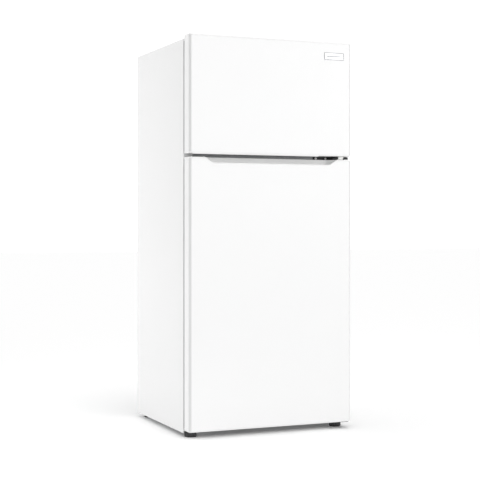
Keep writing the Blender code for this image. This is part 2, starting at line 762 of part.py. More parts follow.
def make_crisper(side, left, right):
    """An open drawer with a thicker front that ends in a pull along its top."""
    front = FACE + CRISPER_SETBACK
    rear = STEP_FACE - GAP - LINER - 0.006
    floor = FRIDGE_FLOOR + GAP + LINER + 0.001
    panel = 0.005
    travel = pivot(f"crisper_{side}_slide", (left, front, floor))
    blocks(f"crisper_{side}", "clear_plastic", [
        (1, (left, front, floor), (right, rear, CRISPER_TOP - 0.012)),
        (1, (left, front, floor), (right, front + panel, CRISPER_TOP)),
        (1, (left, front - 0.010, CRISPER_TOP - 0.016), (right, front, CRISPER_TOP)),
        (-1, (left + 0.002, front - 0.007, CRISPER_TOP - 0.016),
         (right - 0.002, front, CRISPER_TOP - 0.003)),
        (-1, (left + BIN_WALL, front + panel, floor + BIN_WALL),
         (right - BIN_WALL, rear - BIN_WALL, FAR)),
    ], origin=(left, front, floor), parent=travel)


def make_control_housing():
    """A hollow box under the ceiling, open at its top, with a window below for the lamp cover."""
    wall = BIN_WALL
    inner_low = (CONTROL_LOW[0] + wall, CONTROL_LOW[1] + wall, CONTROL_LOW[2] + wall)
    inner_high = (CONTROL_HIGH[0] - wall, CONTROL_HIGH[1] - wall, FAR * 2)
    housing = blocks("control_housing", "white_plastic", [
        (1, CONTROL_LOW, CONTROL_HIGH),
        (-1, inner_low, inner_high),
        (-1, (*LAMP_LOW, 0), (*LAMP_HIGH, inner_low[2] + 0.001)),
    ])
    knob_hole = cylinder("knob_hole", None, 0.0056, -0.01, 0.01, KNOB, "Y")
    switch_hole = cylinder("switch_hole", None, 0.0052, -0.01, 0.01, SWITCH, "Y")
    combine(housing, "DIFFERENCE", knob_hole, switch_hole)


def make_temperature_knob():
    """A round knob with a grip bar across it, its shaft through the housing's front."""
    turn = pivot("temperature_knob_turn", KNOB)
    profile = [(0.017, -0.014), (0.019, -0.012), (0.020, -0.0008), (0.0045, -0.0008), (0.0045, 0.012)]
    knob = turned("temperature_knob", "white_plastic", profile, KNOB, "Y", parent=turn)
    x, y, z = KNOB
    bar = blocks("bar", None, [(1, (x - 0.003, y - 0.020, z - 0.015), (x + 0.003, y - 0.012, z + 0.015))])
    combine(knob, "UNION", bar)


def make_lamp():
    """A shallow clear tray, let into the housing's window from below."""
    z = CONTROL_LOW[2]
    wall = BIN_WALL + GAP
    blocks("lamp_cover", "clear_plastic", [
        (1, (LAMP_LOW[0] + GAP, LAMP_LOW[1] + GAP, z - 0.004),
         (LAMP_HIGH[0] - GAP, LAMP_HIGH[1] - GAP, z + 0.002)),
        (-1, (LAMP_LOW[0] + wall, LAMP_LOW[1] + wall, z - 0.002),
         (LAMP_HIGH[0] - wall, LAMP_HIGH[1] - wall, FAR * 2)),
    ])


def make_door_switch():
    """The plunger that the closed fridge door holds in."""
    slide = pivot("door_switch_slide", SWITCH)
    tip = DOOR_REAR + 0.0006 - SWITCH[1]
    profile = [(0.003, tip), (0.0045, tip + 0.002), (0.0045, 0.014)]
    turned("door_switch_button", "white_plastic", profile, SWITCH, "Y", parent=slide, sides=20)


# --------------------------------------------------------------------- doors


def make_door_skin(name, low, high, parent):
    """A sheet folded round the door's front and sides."""
    outer = door_outline(0, SKIN_REAR)
    inner = door_outline(SHEET, SKIN_REAR)
    outline = outer + inner[::-1]
    skin = loft(name, "white_enamel", [at_height(outline, low), at_height(outline, high)], parent=parent)
    skin.data.shade_smooth()
    skin.data.set_sharp_from_angle(angle=math.radians(35))
    return skin


def make_door_cap(name, edge, inward, plug, parent):
    """An end cap: a lip over the skin's end, rounded outside, and a plug inside the skin."""
    rings = []
    for angle in fillet_angles(3):
        inset = CAP_EDGE_RADIUS * (1 - math.sin(angle))
        height = edge + inward * CAP_EDGE_RADIUS * (1 - math.cos(angle))
        rings.append(at_height(door_outline(inset, SKIN_REAR), height))
    rings.append(at_height(door_outline(0, SKIN_REAR), edge + inward * CAP_LIP))
    inside = door_outline(SHEET + GAP, SKIN_REAR - GAP)
    rings.append(at_height(inside, edge + inward * CAP_LIP))
    rings.append(at_height(inside, edge + inward * plug))
    cap = loft(name, "white_plastic", rings if inward > 0 else rings[::-1], parent=parent)
    cap.data.shade_smooth()
    cap.data.set_sharp_from_angle(angle=math.radians(35))
    return cap


def make_door_foam(name, low, high, parent):
    outline = door_outline(SHEET + GAP, SKIN_REAR)
    loft(name, "foam", [at_height(outline, low), at_height(outline, high)], parent=parent)


def make_door_liner(name, low, high, rib_low, rib_high, parent):
    """The door's plastic back with an upright rib each side of its bins."""
    outer = RIB_INNER + RIB_THICKNESS
    rear = DOOR_REAR + RIB_DEPTH
    blocks(name, "liner_plastic", [
        (1, (-HALF, DOOR_REAR - DOOR_LINER, low), (HALF, DOOR_REAR, high)),
        (1, (-outer, DOOR_REAR, rib_low), (-RIB_INNER, rear, rib_high)),
        (1, (RIB_INNER, DOOR_REAR, rib_low), (outer, rear, rib_high)),
    ], parent=parent)


def make_door_seal(name, low, high, parent):
    """The seal runs further in on the hinge side, so that it lifts away as the door turns."""
    left = -HALF + SEAL_INSET
    right = HALF - PIN_INSET_SIDE - 0.001
    front = DOOR_REAR + GAP
    rear = FACE - GAP
    blocks(name, "seal_rubber", [
        (1, (left, front, low), (right, rear, high)),
        (-1, (left + SEAL_WIDTH, -FAR, low + SEAL_WIDTH), (right - SEAL_WIDTH, FAR, high - SEAL_WIDTH)),
    ], parent=parent)


def make_bin(name, left, right, low, height, depth, parent):
    """An open bin that hangs on the door between the ribs."""
    front = DOOR_REAR + GAP
    rear = DOOR_REAR + depth
    blocks(name, "clear_plastic", [
        (1, (left, front, low), (right, rear, low + height)),
        (-1, (left + BIN_WALL, front + BIN_WALL, low + BIN_WALL),
         (right - BIN_WALL, rear - BIN_WALL, FAR * 2)),
    ], parent=parent)


def make_bush(name, edge, inward, parent):
    """A flangeless sleeve in a door cap, which a hinge pin turns in."""
    bore = PIN_RADIUS + RUNNING_GAP
    low, high = sorted((edge + inward * GAP, edge + inward * BUSH_DEPTH))
    profile = [(bore, low), (bore, high), (BUSH_RADIUS, high), (BUSH_RADIUS, low)]
    turned(name, "nylon", profile, (PIN_X, PIN_Y, 0), parent=parent, bored=True)


def cap_hole(name, radius, edge, inward):
    low, high = sorted((edge - inward * 0.010, edge + inward * (BUSH_DEPTH + 0.0005)))
    return cylinder(name, None, radius, low, high, (PIN_X, PIN_Y, 0))


def bush_hole(edge, inward):
    return cap_hole("bush_hole", BUSH_RADIUS + GAP, edge, inward)


def pin_hole(edge, inward):
    return cap_hole("pin_hole", PIN_RADIUS + RUNNING_GAP, edge, inward)


def make_freezer_door():
    low, high = FREEZER_DOOR_BOTTOM, FREEZER_DOOR_TOP
    door = pivot("freezer_door_swing", (PIN_X, PIN_Y, low))
    make_door_skin("freezer_door_skin", low + CAP_LIP + GAP, high - CAP_LIP - GAP, door)
    top = make_door_cap("freezer_door_top_cap", high, -1, CAP_PLUG, door)
    combine(top, "DIFFERENCE", pin_hole(high, -1))
    bottom = make_door_cap("freezer_door_bottom_cap", low, 1, CAP_PLUG, door)
    grip = blocks("grip", None, [
        (1, (GRIP_LEFT, FRONT + GRIP_NEAR, 0), (GRIP_RIGHT, FRONT + GRIP_FAR, low + GRIP_DEPTH)),
    ])
    combine(bottom, "DIFFERENCE", bush_hole(low, 1), grip)
    make_bush("freezer_door_bush", low, 1, door)
    make_door_foam("freezer_door_foam", low + CAP_PLUG + GAP, high - CAP_PLUG - GAP, door)
    make_door_liner("freezer_door_liner", low, high, *RIBS_FREEZER, door)
    make_door_seal("freezer_door_seal", low + 0.008, CABINET_TOP - SEAL_INSET, door)
    for level, z in FREEZER_BINS.items():
        make_bin(f"freezer_door_bin_{level}", -BIN_EDGE, BIN_EDGE, z, 0.083, 0.088, door)
    make_badge(door)


def make_badge(door):
    """A plain raised plate with a border, its face bare."""
    left, right = BADGE_X - BADGE_HALF_WIDTH, BADGE_X + BADGE_HALF_WIDTH
    middle = FREEZER_DOOR_TOP - BADGE_DROP
    low, high = middle - BADGE_HALF_HEIGHT, middle + BADGE_HALF_HEIGHT
    blocks("badge", "badge_metal", [
        (1, (left, FRONT - BADGE_RELIEF, low), (right, FRONT - GAP, high)),
        (-1, (left + BADGE_BORDER, -FAR, low + BADGE_BORDER),
         (right - BADGE_BORDER, FRONT - BADGE_FACE, high - BADGE_BORDER)),
    ], parent=door)


def recess_share(x):
    """How far the handle recess has sunk at x: 1 along its flat length, easing to 0 at its ends."""
    outside = (abs(x) - RECESS_HALF_FLAT) / (RECESS_HALF_LENGTH - RECESS_HALF_FLAT)
    t = min(max(1 - outside, 0.0), 1.0)
    return t * t * (3 - 2 * t)


def recess_section(x):
    """The recess across the door at x: a front lip, a finger trough behind it, a curved rear wall."""
    share = recess_share(x)
    above = FRIDGE_DOOR_TOP + 0.010
    edge = FRIDGE_DOOR_TOP + 0.001
    lip = edge - share * (RECESS_LIP_DROP + 0.001)
    trough = lip - share * TROUGH_DEPTH
    inner = FRONT + RECESS_LIP_DEPTH
    reach = RECESS_END_REACH + share * (RECESS_REACH - RECESS_END_REACH)
    middle = inner + reach * 0.42
    wall = inner + reach
    points = [(FRONT - 0.010, above), (FRONT - 0.010, lip), (inner, lip)]
    for angle in fillet_angles(4)[1:]:
        y = inner + (middle - inner) * math.sin(angle)
        points.append((y, trough + (lip - trough) * math.cos(angle)))
    for angle in fillet_angles(5)[1:]:
        y = middle + (wall - middle) * math.sin(angle)
        points.append((y, trough + (edge - trough) * (1 - math.cos(angle))))
    points.append((wall, above))
    return [(x, y, z) for y, z in points]


def recess_cutter():
    slope = RECESS_HALF_LENGTH - RECESS_HALF_FLAT
    ramp = [RECESS_HALF_FLAT + slope * k / 10 for k in range(10)]
    places = [-x for x in reversed(ramp)] + ramp
    return loft("recess", None, [recess_section(x) for x in places])


def make_fridge_door():
    low, high = FRIDGE_DOOR_BOTTOM, FRIDGE_DOOR_TOP
    door = pivot("fridge_door_swing", (PIN_X, PIN_Y, low))
    skin = make_door_skin("fridge_door_skin", low + CAP_LIP + GAP, high - CAP_LIP - GAP, door)
    combine(skin, "DIFFERENCE", recess_cutter())
    top = make_door_cap("fridge_door_handle_cap", high, -1, HANDLE_PLUG, door)
    combine(top, "DIFFERENCE", recess_cutter(), bush_hole(high, -1))
    make_bush("fridge_door_bush", high, -1, door)
    bottom = make_door_cap("fridge_door_bottom_cap", low, 1, CAP_PLUG, door)
    combine(bottom, "DIFFERENCE", pin_hole(low, 1))
    make_door_foam("fridge_door_foam", low + CAP_PLUG + GAP, high - HANDLE_PLUG - GAP, door)
    make_door_liner("fridge_door_liner", low, high, *RIBS_FRIDGE, door)
    make_door_seal("fridge_door_seal", low + SEAL_INSET, high - 0.008, door)
    make_bin("fridge_door_bin_lower", -BIN_EDGE, BIN_EDGE, 0.345, 0.110, 0.110, door)
    make_bin("fridge_door_bin_middle", -BIN_EDGE, BIN_EDGE, 0.640, 0.090, 0.105, door)
    make_bin("dairy_bin", -BIN_EDGE, 0.0, 0.955, 0.075, 0.095, door)
    make_dairy_lid(-BIN_EDGE, 0.0, door)


def make_dairy_lid(left, right, door):
    """A flap over the dairy bin: a top and a front lip, hinged along the door's liner."""
    y, z = DAIRY_PIVOT
    front = y + DAIRY_REACH
    top = z - 0.001 + BIN_WALL
    lid = blocks("dairy_lid", "clear_plastic", [
        (1, (left, y - 0.003, z - 0.003), (right, y + 0.004, z + 0.003)),
        (1, (left, y, z - 0.001), (right, front, top)),
        (1, (left, front - BIN_WALL, z - 0.030), (right, front, top)),
    ], origin=(left, y, z))
    lift = pivot("dairy_lid_lift", lid.location - door.location)
    lift.parent = door
    lid.location = (0, 0, 0)
    lid.parent = lift


def build():
    clear_scene()
    make_cabinet_shell()
    make_back_panel()
    make_bottom_plate()
    make_cabinet_foam()
    make_freezer_liner()
    make_fridge_liner()
    make_mullion_rail()
    make_front_rail()
    for side, sign in (("left", -1), ("right", 1)):
        make_front_foot(side, sign * FOOT_X)
        make_rear_roller(side, sign * ROLLER_X)
    make_top_hinge_bracket()
    make_top_hinge_cover()
    make_middle_hinge()
    make_bottom_hinge_bracket()
    make_base_pan()
    make_compressor()
    make_condenser_coil()
    make_drip_tray()
    make_machine_cover()
    make_power_inlet_gland()
    make_evaporator()
    make_evaporator_cover()
    make_fan()
    make_freezer_shelf()
    make_fridge_shelves()
    edge = ROOM - LEDGE_REACH - 0.002
    make_crisper("left", -edge, -0.002)
    make_crisper("right", 0.002, edge)
    make_control_housing()
    make_temperature_knob()
    make_lamp()
    make_door_switch()
    make_freezer_door()
    make_fridge_door()


build()
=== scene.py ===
"""Looks of the top freezer refrigerator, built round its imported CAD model. Metres, +Z up, doors facing -Y."""

import json
import math

import bmesh
import bpy
from mathutils import Matrix, Vector


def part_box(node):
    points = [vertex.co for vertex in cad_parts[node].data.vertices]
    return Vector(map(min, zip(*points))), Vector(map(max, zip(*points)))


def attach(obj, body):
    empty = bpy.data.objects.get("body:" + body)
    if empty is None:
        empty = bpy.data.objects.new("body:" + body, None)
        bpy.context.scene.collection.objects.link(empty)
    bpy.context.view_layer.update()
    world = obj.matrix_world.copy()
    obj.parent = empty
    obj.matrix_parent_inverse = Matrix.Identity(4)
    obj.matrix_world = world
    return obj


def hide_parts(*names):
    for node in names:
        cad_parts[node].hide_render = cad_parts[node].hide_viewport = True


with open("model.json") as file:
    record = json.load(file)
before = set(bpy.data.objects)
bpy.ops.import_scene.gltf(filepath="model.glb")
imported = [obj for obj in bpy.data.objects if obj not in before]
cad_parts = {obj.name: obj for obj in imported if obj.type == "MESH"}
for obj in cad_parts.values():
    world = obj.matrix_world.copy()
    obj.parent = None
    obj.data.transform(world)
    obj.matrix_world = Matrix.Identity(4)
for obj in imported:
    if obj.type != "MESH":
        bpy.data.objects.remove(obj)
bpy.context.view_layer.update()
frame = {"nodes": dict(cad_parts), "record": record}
NODES = frame["nodes"]
RECORD = frame["record"]


# ----------------------------------------------------------------- materials


def shader_of(name, colour, roughness, metallic=0.0):
    made = bpy.data.materials.new(name)
    made.use_nodes = True
    made.diffuse_color = (*colour, 1.0)
    shader = made.node_tree.nodes["Principled BSDF"]
    shader.inputs["Base Color"].default_value = (*colour, 1.0)
    shader.inputs["Roughness"].default_value = roughness
    shader.inputs["Metallic"].default_value = metallic
    return made, shader


def math_node(tree, operation, first, second):
    """A Math node whose two inputs are each a plain number or another node's output."""
    node = tree.nodes.new("ShaderNodeMath")
    node.operation = operation
    for socket, value in zip(node.inputs, (first, second)):
        if isinstance(value, float):
            socket.default_value = value
        else:
            tree.links.new(value, socket)
    return node.outputs["Value"]


class Graph:
    """Short calls for building a node tree on object coordinates."""

    def __init__(self, made):
        self.tree = made.node_tree
        self.shader = self.tree.nodes["Principled BSDF"]
        self.where = self.tree.nodes.new("ShaderNodeTexCoord").outputs["Object"]

    def scaled(self, scale):
        node = self.tree.nodes.new("ShaderNodeMapping")
        node.inputs["Scale"].default_value = scale
        self.tree.links.new(self.where, node.inputs["Vector"])
        return node.outputs["Vector"]

    def noise(self, scale, detail=2.0, stretch=None):
        node = self.tree.nodes.new("ShaderNodeTexNoise")
        node.inputs["Scale"].default_value = scale
        node.inputs["Detail"].default_value = detail
        self.tree.links.new(self.scaled(stretch) if stretch else self.where, node.inputs["Vector"])
        return node.outputs["Fac"]

    def cells(self, scale, output="Distance"):
        node = self.tree.nodes.new("ShaderNodeTexVoronoi")
        node.inputs["Scale"].default_value = scale
        self.tree.links.new(self.where, node.inputs["Vector"])
        return node.outputs[output]

    def ramp(self, value, low, high, start=0.3, end=0.7):
        """A colour that runs from low to high as the value goes from start to end."""
        node = self.tree.nodes.new("ShaderNodeValToRGB")
        node.color_ramp.elements[0].position = start
        node.color_ramp.elements[1].position = end
        node.color_ramp.elements[0].color = (*low, 1.0)
        node.color_ramp.elements[1].color = (*high, 1.0)
        self.tree.links.new(value, node.inputs["Fac"])
        return node.outputs["Color"]

    def span(self, value, low, high, start=0.3, end=0.7):
        node = self.tree.nodes.new("ShaderNodeMapRange")
        node.inputs["From Min"].default_value = start
        node.inputs["From Max"].default_value = end
        node.inputs["To Min"].default_value = low
        node.inputs["To Max"].default_value = high
        self.tree.links.new(value, node.inputs["Value"])
        return node.outputs["Result"]

    def painted_shade_area(self):
        """0 on faces square to X or Y, rising to about 0.5 on an upright rounded edge between them; it places
        painted shade.
        """
        coordinates = self.tree.nodes.new("ShaderNodeTexCoord")
        parts = self.tree.nodes.new("ShaderNodeSeparateXYZ")
        self.tree.links.new(coordinates.outputs["Normal"], parts.inputs["Vector"])
        product = math_node(self.tree, "MULTIPLY", parts.outputs["X"], parts.outputs["Y"])
        return math_node(self.tree, "ABSOLUTE", product, 0.0)

    def times(self, first, second):
        """One colour multiplied by another."""
        node = self.tree.nodes.new("ShaderNodeMix")
        node.data_type = "RGBA"
        node.blend_type = "MULTIPLY"
        node.inputs["Factor"].default_value = 1.0
        for value, name in ((first, "A_Color"), (second, "B_Color")):
            socket = next(socket for socket in node.inputs if socket.identifier == name)
            self.tree.links.new(value, socket)
        return next(socket for socket in node.outputs if socket.identifier == "Result_Color")

    def set(self, name, output):
        self.tree.links.new(output, self.shader.inputs[name])

    def bump(self, *layers):
        """Each layer is (height, strength, distance in metres)."""
        normal = None
        for height, strength, distance in layers:
            node = self.tree.nodes.new("ShaderNodeBump")
            node.inputs["Strength"].default_value = strength
            node.inputs["Distance"].default_value = distance
            self.tree.links.new(height, node.inputs["Height"])
            if normal:
                self.tree.links.new(normal, node.inputs["Normal"])
            normal = node.outputs["Normal"]
        self.set("Normal", normal)


def shade(colour, factor):
    return tuple(min(1.0, channel * factor) for channel in colour)


def surface(name, colour, roughness, metallic=0.0, variation=0.03, cloud=6.0, grain=900.0,
            grain_depth=0.00002, rough_spread=0.05, coat=0.0):
    """A finish with slow clouds of tone and gloss, and a fine grain in relief."""
    made, shader = shader_of(name, colour, roughness, metallic)
    shader.inputs["Coat Weight"].default_value = coat
    shader.inputs["Coat Roughness"].default_value = 0.12
    graph = Graph(made)
    clouds = graph.noise(cloud, 4.0)
    fine = graph.noise(grain, 2.0)
    graph.set("Base Color", graph.ramp(clouds, shade(colour, 1 - variation), shade(colour, 1 + variation)))
    graph.set("Roughness", graph.span(clouds, roughness - rough_spread, roughness + rough_spread))
    graph.bump((fine, 0.35, grain_depth))
    return made


def enamel(name, colour, painted_edge_shade=1.0):
    """Sprayed enamel on sheet steel, with a faint orange peel; a last factor below 1 darkens its colour on
    upright rounded edges as painted shade.
    """
    made, shader = shader_of(name, colour, 0.30)
    shader.inputs["Coat Weight"].default_value = 0.25
    shader.inputs["Coat Roughness"].default_value = 0.10
    graph = Graph(made)
    clouds = graph.noise(1.6, 3.0)
    peel = graph.noise(420.0, 1.0)
    dust = graph.noise(2400.0, 2.0)
    paint = graph.ramp(clouds, shade(colour, 0.995), shade(colour, 1.004))
    # Painted shade: the colour is multiplied down on upright rounded edges, where the normal lies between X and
    # Y.
    if painted_edge_shade < 1.0:
        edge_shade_ramp = graph.ramp(graph.painted_shade_area(), (1.0, 1.0, 1.0), (painted_edge_shade, painted_edge_shade, painted_edge_shade), 0.05, 0.35)
        paint = graph.times(paint, edge_shade_ramp)
    graph.set("Base Color", paint)
    graph.set("Roughness", graph.span(dust, 0.26, 0.34))
    graph.bump((peel, 0.10, 0.00004), (dust, 0.05, 0.00001))
    return made


def see_through(name, colour, roughness, weight, ior):
    made, shader = shader_of(name, colour, roughness)
    shader.inputs["Transmission Weight"].default_value = weight
    shader.inputs["IOR"].default_value = ior
    graph = Graph(made)
    clouds = graph.noise(9.0, 3.0)
    graph.set("Base Color", graph.ramp(clouds, shade(colour, 0.98), shade(colour, 1.02)))
    graph.set("Roughness", graph.span(graph.noise(60.0, 3.0), roughness, roughness + 0.05))
    graph.bump((graph.noise(45.0, 1.0), 0.05, 0.0001))
    return made


def galvanised(name, colour):
    """Zinc-dipped sheet: angular spangles a few millimetres across."""
    made, _ = shader_of(name, colour, 0.42, 0.85)
    graph = Graph(made)
    spangle = graph.cells(110.0, output="Color")
    graph.set("Base Color", graph.ramp(spangle, shade(colour, 0.88), shade(colour, 1.10), 0.2, 0.8))
    graph.set("Roughness", graph.span(spangle, 0.34, 0.50, 0.2, 0.8))
    graph.bump((graph.noise(700.0), 0.15, 0.00002))
    return made


def brushed(name, colour, roughness, stretch):
    """Metal with fine straight brush lines."""
    made, _ = shader_of(name, colour, roughness, 0.9)
    graph = Graph(made)
    lines = graph.noise(900.0, 3.0, stretch)
    graph.set("Base Color", graph.ramp(lines, shade(colour, 0.90), shade(colour, 1.08)))
    graph.set("Roughness", graph.span(lines, roughness - 0.07, roughness + 0.09))
    graph.bump((lines, 0.2, 0.00002))
    return made


def foam():
    """Cut rigid foam: pores in a straw-coloured body."""
    colour = (0.84, 0.72, 0.42)
    made, _ = shader_of("foam", colour, 0.9)
    graph = Graph(made)
    pores = graph.cells(420.0)
    graph.set("Base Color", graph.ramp(pores, shade(colour, 0.82), shade(colour, 1.06), 0.1, 0.6))
    graph.set("Roughness", graph.span(pores, 0.95, 0.82, 0.1, 0.6))
    graph.bump((pores, 0.6, 0.0006))
    return made


MATERIALS = {
    "white_enamel": enamel("white_enamel", (0.79, 0.79, 0.79)),
    # The doors' white is lighter than the cabinet's, and darkened to 0.84 on upright rounded edges as painted
    # shade.
    "door_enamel": enamel("door_enamel", (0.83, 0.83, 0.83), 0.84),
    "white_plastic": surface(
        "white_plastic", (0.82, 0.82, 0.818), 0.36, variation=0.006, cloud=4.0, grain=1600.0),
    "liner_plastic": surface(
        "liner_plastic", (0.88, 0.885, 0.89), 0.30, variation=0.008, cloud=3.0, grain=260.0),
    "clear_plastic": see_through("clear_plastic", (0.965, 0.98, 0.985), 0.06, 0.90, 1.45),
    "shelf_glass": see_through("shelf_glass", (0.86, 0.95, 0.92), 0.01, 0.95, 1.50),
    # The seal's near black is painted shade for the gaps round the doors, where the seal lies in shade; the
    # compressor mounts use it as their own black rubber.
    "seal_rubber": surface(
        "seal_rubber", (0.075, 0.075, 0.08), 0.62, variation=0.04, cloud=30.0, grain=700.0,
        grain_depth=0.00005),
    "foam": foam(),
    "galvanised_steel": galvanised("galvanised_steel", (0.60, 0.62, 0.63)),
    # The mullion rail's dark grey is painted shade for the shaded gap between the doors.
    "mullion_steel_painted_shade": galvanised("mullion_steel_painted_shade", (0.24, 0.245, 0.25)),
    "black_steel": surface("black_steel", (0.012, 0.012, 0.013), 0.40, 0.2, variation=0.15, grain=1200.0),
    "zinc_steel": brushed("zinc_steel", (0.70, 0.70, 0.69), 0.34, (1.0, 0.05, 1.0)),
    "nylon": surface("nylon", (0.86, 0.86, 0.84), 0.45, variation=0.01, cloud=40.0, grain=1500.0),
    "foot_plastic": surface(
        "foot_plastic", (0.045, 0.045, 0.048), 0.50, variation=0.12, cloud=60.0, grain=1400.0,
        grain_depth=0.00006),
    "compressor_black": surface(
        "compressor_black", (0.014, 0.014, 0.016), 0.33, 0.2, variation=0.2, cloud=25.0, grain=500.0,
        grain_depth=0.00008, coat=0.3),
    "copper": brushed("copper", (0.78, 0.41, 0.25), 0.30, (0.05, 1.0, 1.0)),
    "aluminium": brushed("aluminium", (0.80, 0.81, 0.82), 0.32, (1.0, 1.0, 0.05)),
    "badge_metal": brushed("badge_metal", (0.80, 0.81, 0.82), 0.28, (0.05, 1.0, 1.0)),
    "badge_edge": brushed("badge_edge", (0.26, 0.265, 0.28), 0.35, (0.05, 1.0, 1.0)),
}


def dress(obj, slot, look=None):
    """The record's slot, shown by its own material unless another look is named."""
    obj.data.materials.clear()
    obj.data.materials.append(MATERIALS[look or slot])


# --------------------------------------------------------- the CAD's own nodes

SOFTENED = {
    "cabinet_shell": 0.0004,
    "mullion_rail": 0.0003,
    "badge": 0.0004,
    "top_hinge_cover": 0.0015,
    "control_housing": 0.0012,
    "crisper_left": 0.001,
    "crisper_right": 0.001,
    "dairy_bin": 0.001,
    "dairy_lid": 0.0008,
    "fridge_door_bin_lower": 0.001,
    "fridge_door_bin_middle": 0.001,
    "freezer_door_bin_lower": 0.001,
    "freezer_door_bin_upper": 0.001,
    "fridge_shelf_lower": 0.0008,
    "fridge_shelf_upper": 0.0008,
    "crisper_cover": 0.0008,
    "drip_tray": 0.0008,
    "evaporator_cover": 0.0006,
    "temperature_knob": 0.0006,
    "middle_hinge_cam": 0.0006,
}


def soften(obj, width):
    """Shared corners made one, and edges rounded, without touching the CAD mesh itself."""
    weld = obj.modifiers.new("weld", "WELD")
    weld.merge_threshold = 0.00001
    bevel = obj.modifiers.new("edges", "BEVEL")
    bevel.width = width
    bevel.segments = 2
    bevel.limit_method = "ANGLE"
    bevel.angle_limit = math.radians(40)
    bevel.harden_normals = True


LOOKS = {
    "freezer_door_skin": "door_enamel",
    "fridge_door_skin": "door_enamel",
    # The mullion rail takes the dark grey that stands in as painted shade.
    "mullion_rail": "mullion_steel_painted_shade",
}


def dress_cad_nodes():
    for entry in RECORD["subparts"]:
        node = NODES[entry["node"]]
        dress(node, entry["material_slot"], LOOKS.get(entry["node"]))
        if entry["node"] in SOFTENED:
            soften(node, SOFTENED[entry["node"]])


# ------------------------------------------------------------ building tools


def bare_box(bm, low, high):
    verts = bmesh.ops.create_cube(bm, size=1.0)["verts"]
    low, high = Vector(low), Vector(high)
    for vert in verts:
        vert.co = Vector(low[i] + (vert.co[i] + 0.5) * (high[i] - low[i]) for i in range(3))
    return verts


def add_box(bm, low, high, radius=0.0, segments=2):
    """A block with all its edges rounded."""
    verts = bare_box(bm, low, high)
    if radius:
        edges = list({edge for vert in verts for edge in vert.link_edges})
        bmesh.ops.bevel(bm, geom=edges, offset=radius, segments=segments, profile=0.5, affect="EDGES")


def add_rings(bm, rings, closed=False):
    """A skin through rings of points, each ring joined to the next."""
    rows = [[bm.verts.new(point) for point in ring] for ring in rings]
    for below, above in zip(rows, rows[1:] + rows[:1] if closed else rows[1:]):
        for k in range(len(below)):
            n = (k + 1) % len(below)
            bm.faces.new((below[k], below[n], above[n], above[k]))
    if not closed:
        bm.faces.new(rows[0][::-1])
        bm.faces.new(rows[-1])


def add_tube(bm, points, radius, sides=10, closed=False):
    """A round bar along the points, its section carried round each bend without twisting."""
    points = [Vector(point) for point in points]
    count = len(points)
    rings = []
    side = None
    for k, point in enumerate(points):
        before = points[(k - 1) % count] if closed or k else point
        after = points[(k + 1) % count] if closed or k < count - 1 else point
        along = (after - before).normalized()
        if side is None:
            side = along.orthogonal().normalized()
        side = (side - along * side.dot(along)).normalized()
        up = along.cross(side)
        ring = []
        for j in range(sides):
            angle = 2 * math.pi * j / sides
            ring.append(point + radius * (side * math.cos(angle) + up * math.sin(angle)))
        rings.append(ring)
    add_rings(bm, rings, closed=closed)


def turn_of(axis):
    return {"Z": (0, 1, 2), "X": (1, 2, 0), "Y": (2, 0, 1)}[axis]


def add_turned(bm, profile, centre, axis="Z", sides=32, flip=1, lobes=0, depth=0.0):
    """A body turned about an axis: profile points are (radius, distance along it), optionally fluted."""
    rings = []
    for radius, along in profile:
        ring = []
        for k in range(sides):
            angle = 2 * math.pi * k / sides
            reach = radius + (depth * math.cos(lobes * angle) if lobes and radius > 0.015 else 0.0)
            local = (reach * math.cos(angle), reach * math.sin(angle), along * flip)
            point = [0.0, 0.0, 0.0]
            for source, target in enumerate(turn_of(axis)):
                point[target] = local[source] + centre[target]
            ring.append(point)
        rings.append(ring)
    add_rings(bm, rings)


def add_frame(bm, low, high, profile):
    """A mitred frame round a rectangle in X and Z: profile points are (inset, y)."""
    rings = []
    for x, z, sx, sz in ((low[0], low[1], 1, 1), (high[0], low[1], -1, 1),
                         (high[0], high[1], -1, -1), (low[0], high[1], 1, -1)):
        rings.append([(x + sx * inset, y, z + sz * inset) for inset, y in profile])
    add_rings(bm, rings, closed=True)


def rounded_path(corners, radius, steps=5):
    """The corners of an open path in space, each replaced by a short bend."""
    corners = [Vector(corner) for corner in corners]
    path = [corners[0]]
    for before, corner, after in zip(corners, corners[1:], corners[2:]):
        start = corner + (before - corner).normalized() * radius
        end = corner + (after - corner).normalized() * radius
        for k in range(steps + 1):
            t = k / steps
            path.append((1 - t) ** 2 * start + 2 * t * (1 - t) * corner + t ** 2 * end)
    path.append(corners[-1])
    return path


def finish_piece(name, bm, body, slot, replaces=(), crease=35, look=None):
    """The mesh becomes a piece that rides on its body, smooth except at its sharp edges."""
    bmesh.ops.recalc_face_normals(bm, faces=bm.faces)
    mesh = bpy.data.meshes.new(name)
    bm.to_mesh(mesh)
    bm.free()
    mesh.shade_smooth()
    mesh.set_sharp_from_angle(angle=math.radians(crease))
    piece = bpy.data.objects.new(name, mesh)
    bpy.context.scene.collection.objects.link(piece)
    dress(piece, slot, look)
    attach(piece, body)
    if replaces:
        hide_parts(*replaces)


def rounded_blocks(name, body, slot, *boxes, radius=0.001, segments=2):
    """One piece made of rounded blocks."""
    bm = bmesh.new()
    for low, high in boxes:
        add_box(bm, low, high, radius, segments)
    finish_piece(name, bm, body, slot)


def side_span(side, inner, outer):
    """The low and high X of something between two distances from the middle, on side -1 or 1."""
    return sorted((side * inner, side * outer))


def screw(bm, place, axis, flip, radius=0.004, height=0.0016):
    """A pan head with a cross recess, its flat against the surface at the given place."""
    profile = [(radius * 1.25, 0.0), (radius * 1.25, height * 0.2), (radius, height * 0.25),
               (radius * 0.96, height * 0.7), (radius * 0.72, height), (radius * 0.30, height),
               (radius * 0.22, height * 0.45), (radius * 0.02, height * 0.40)]
    add_turned(bm, profile, place, axis, sides=16, flip=flip)


# ----------------------------------------------------------------- the doors

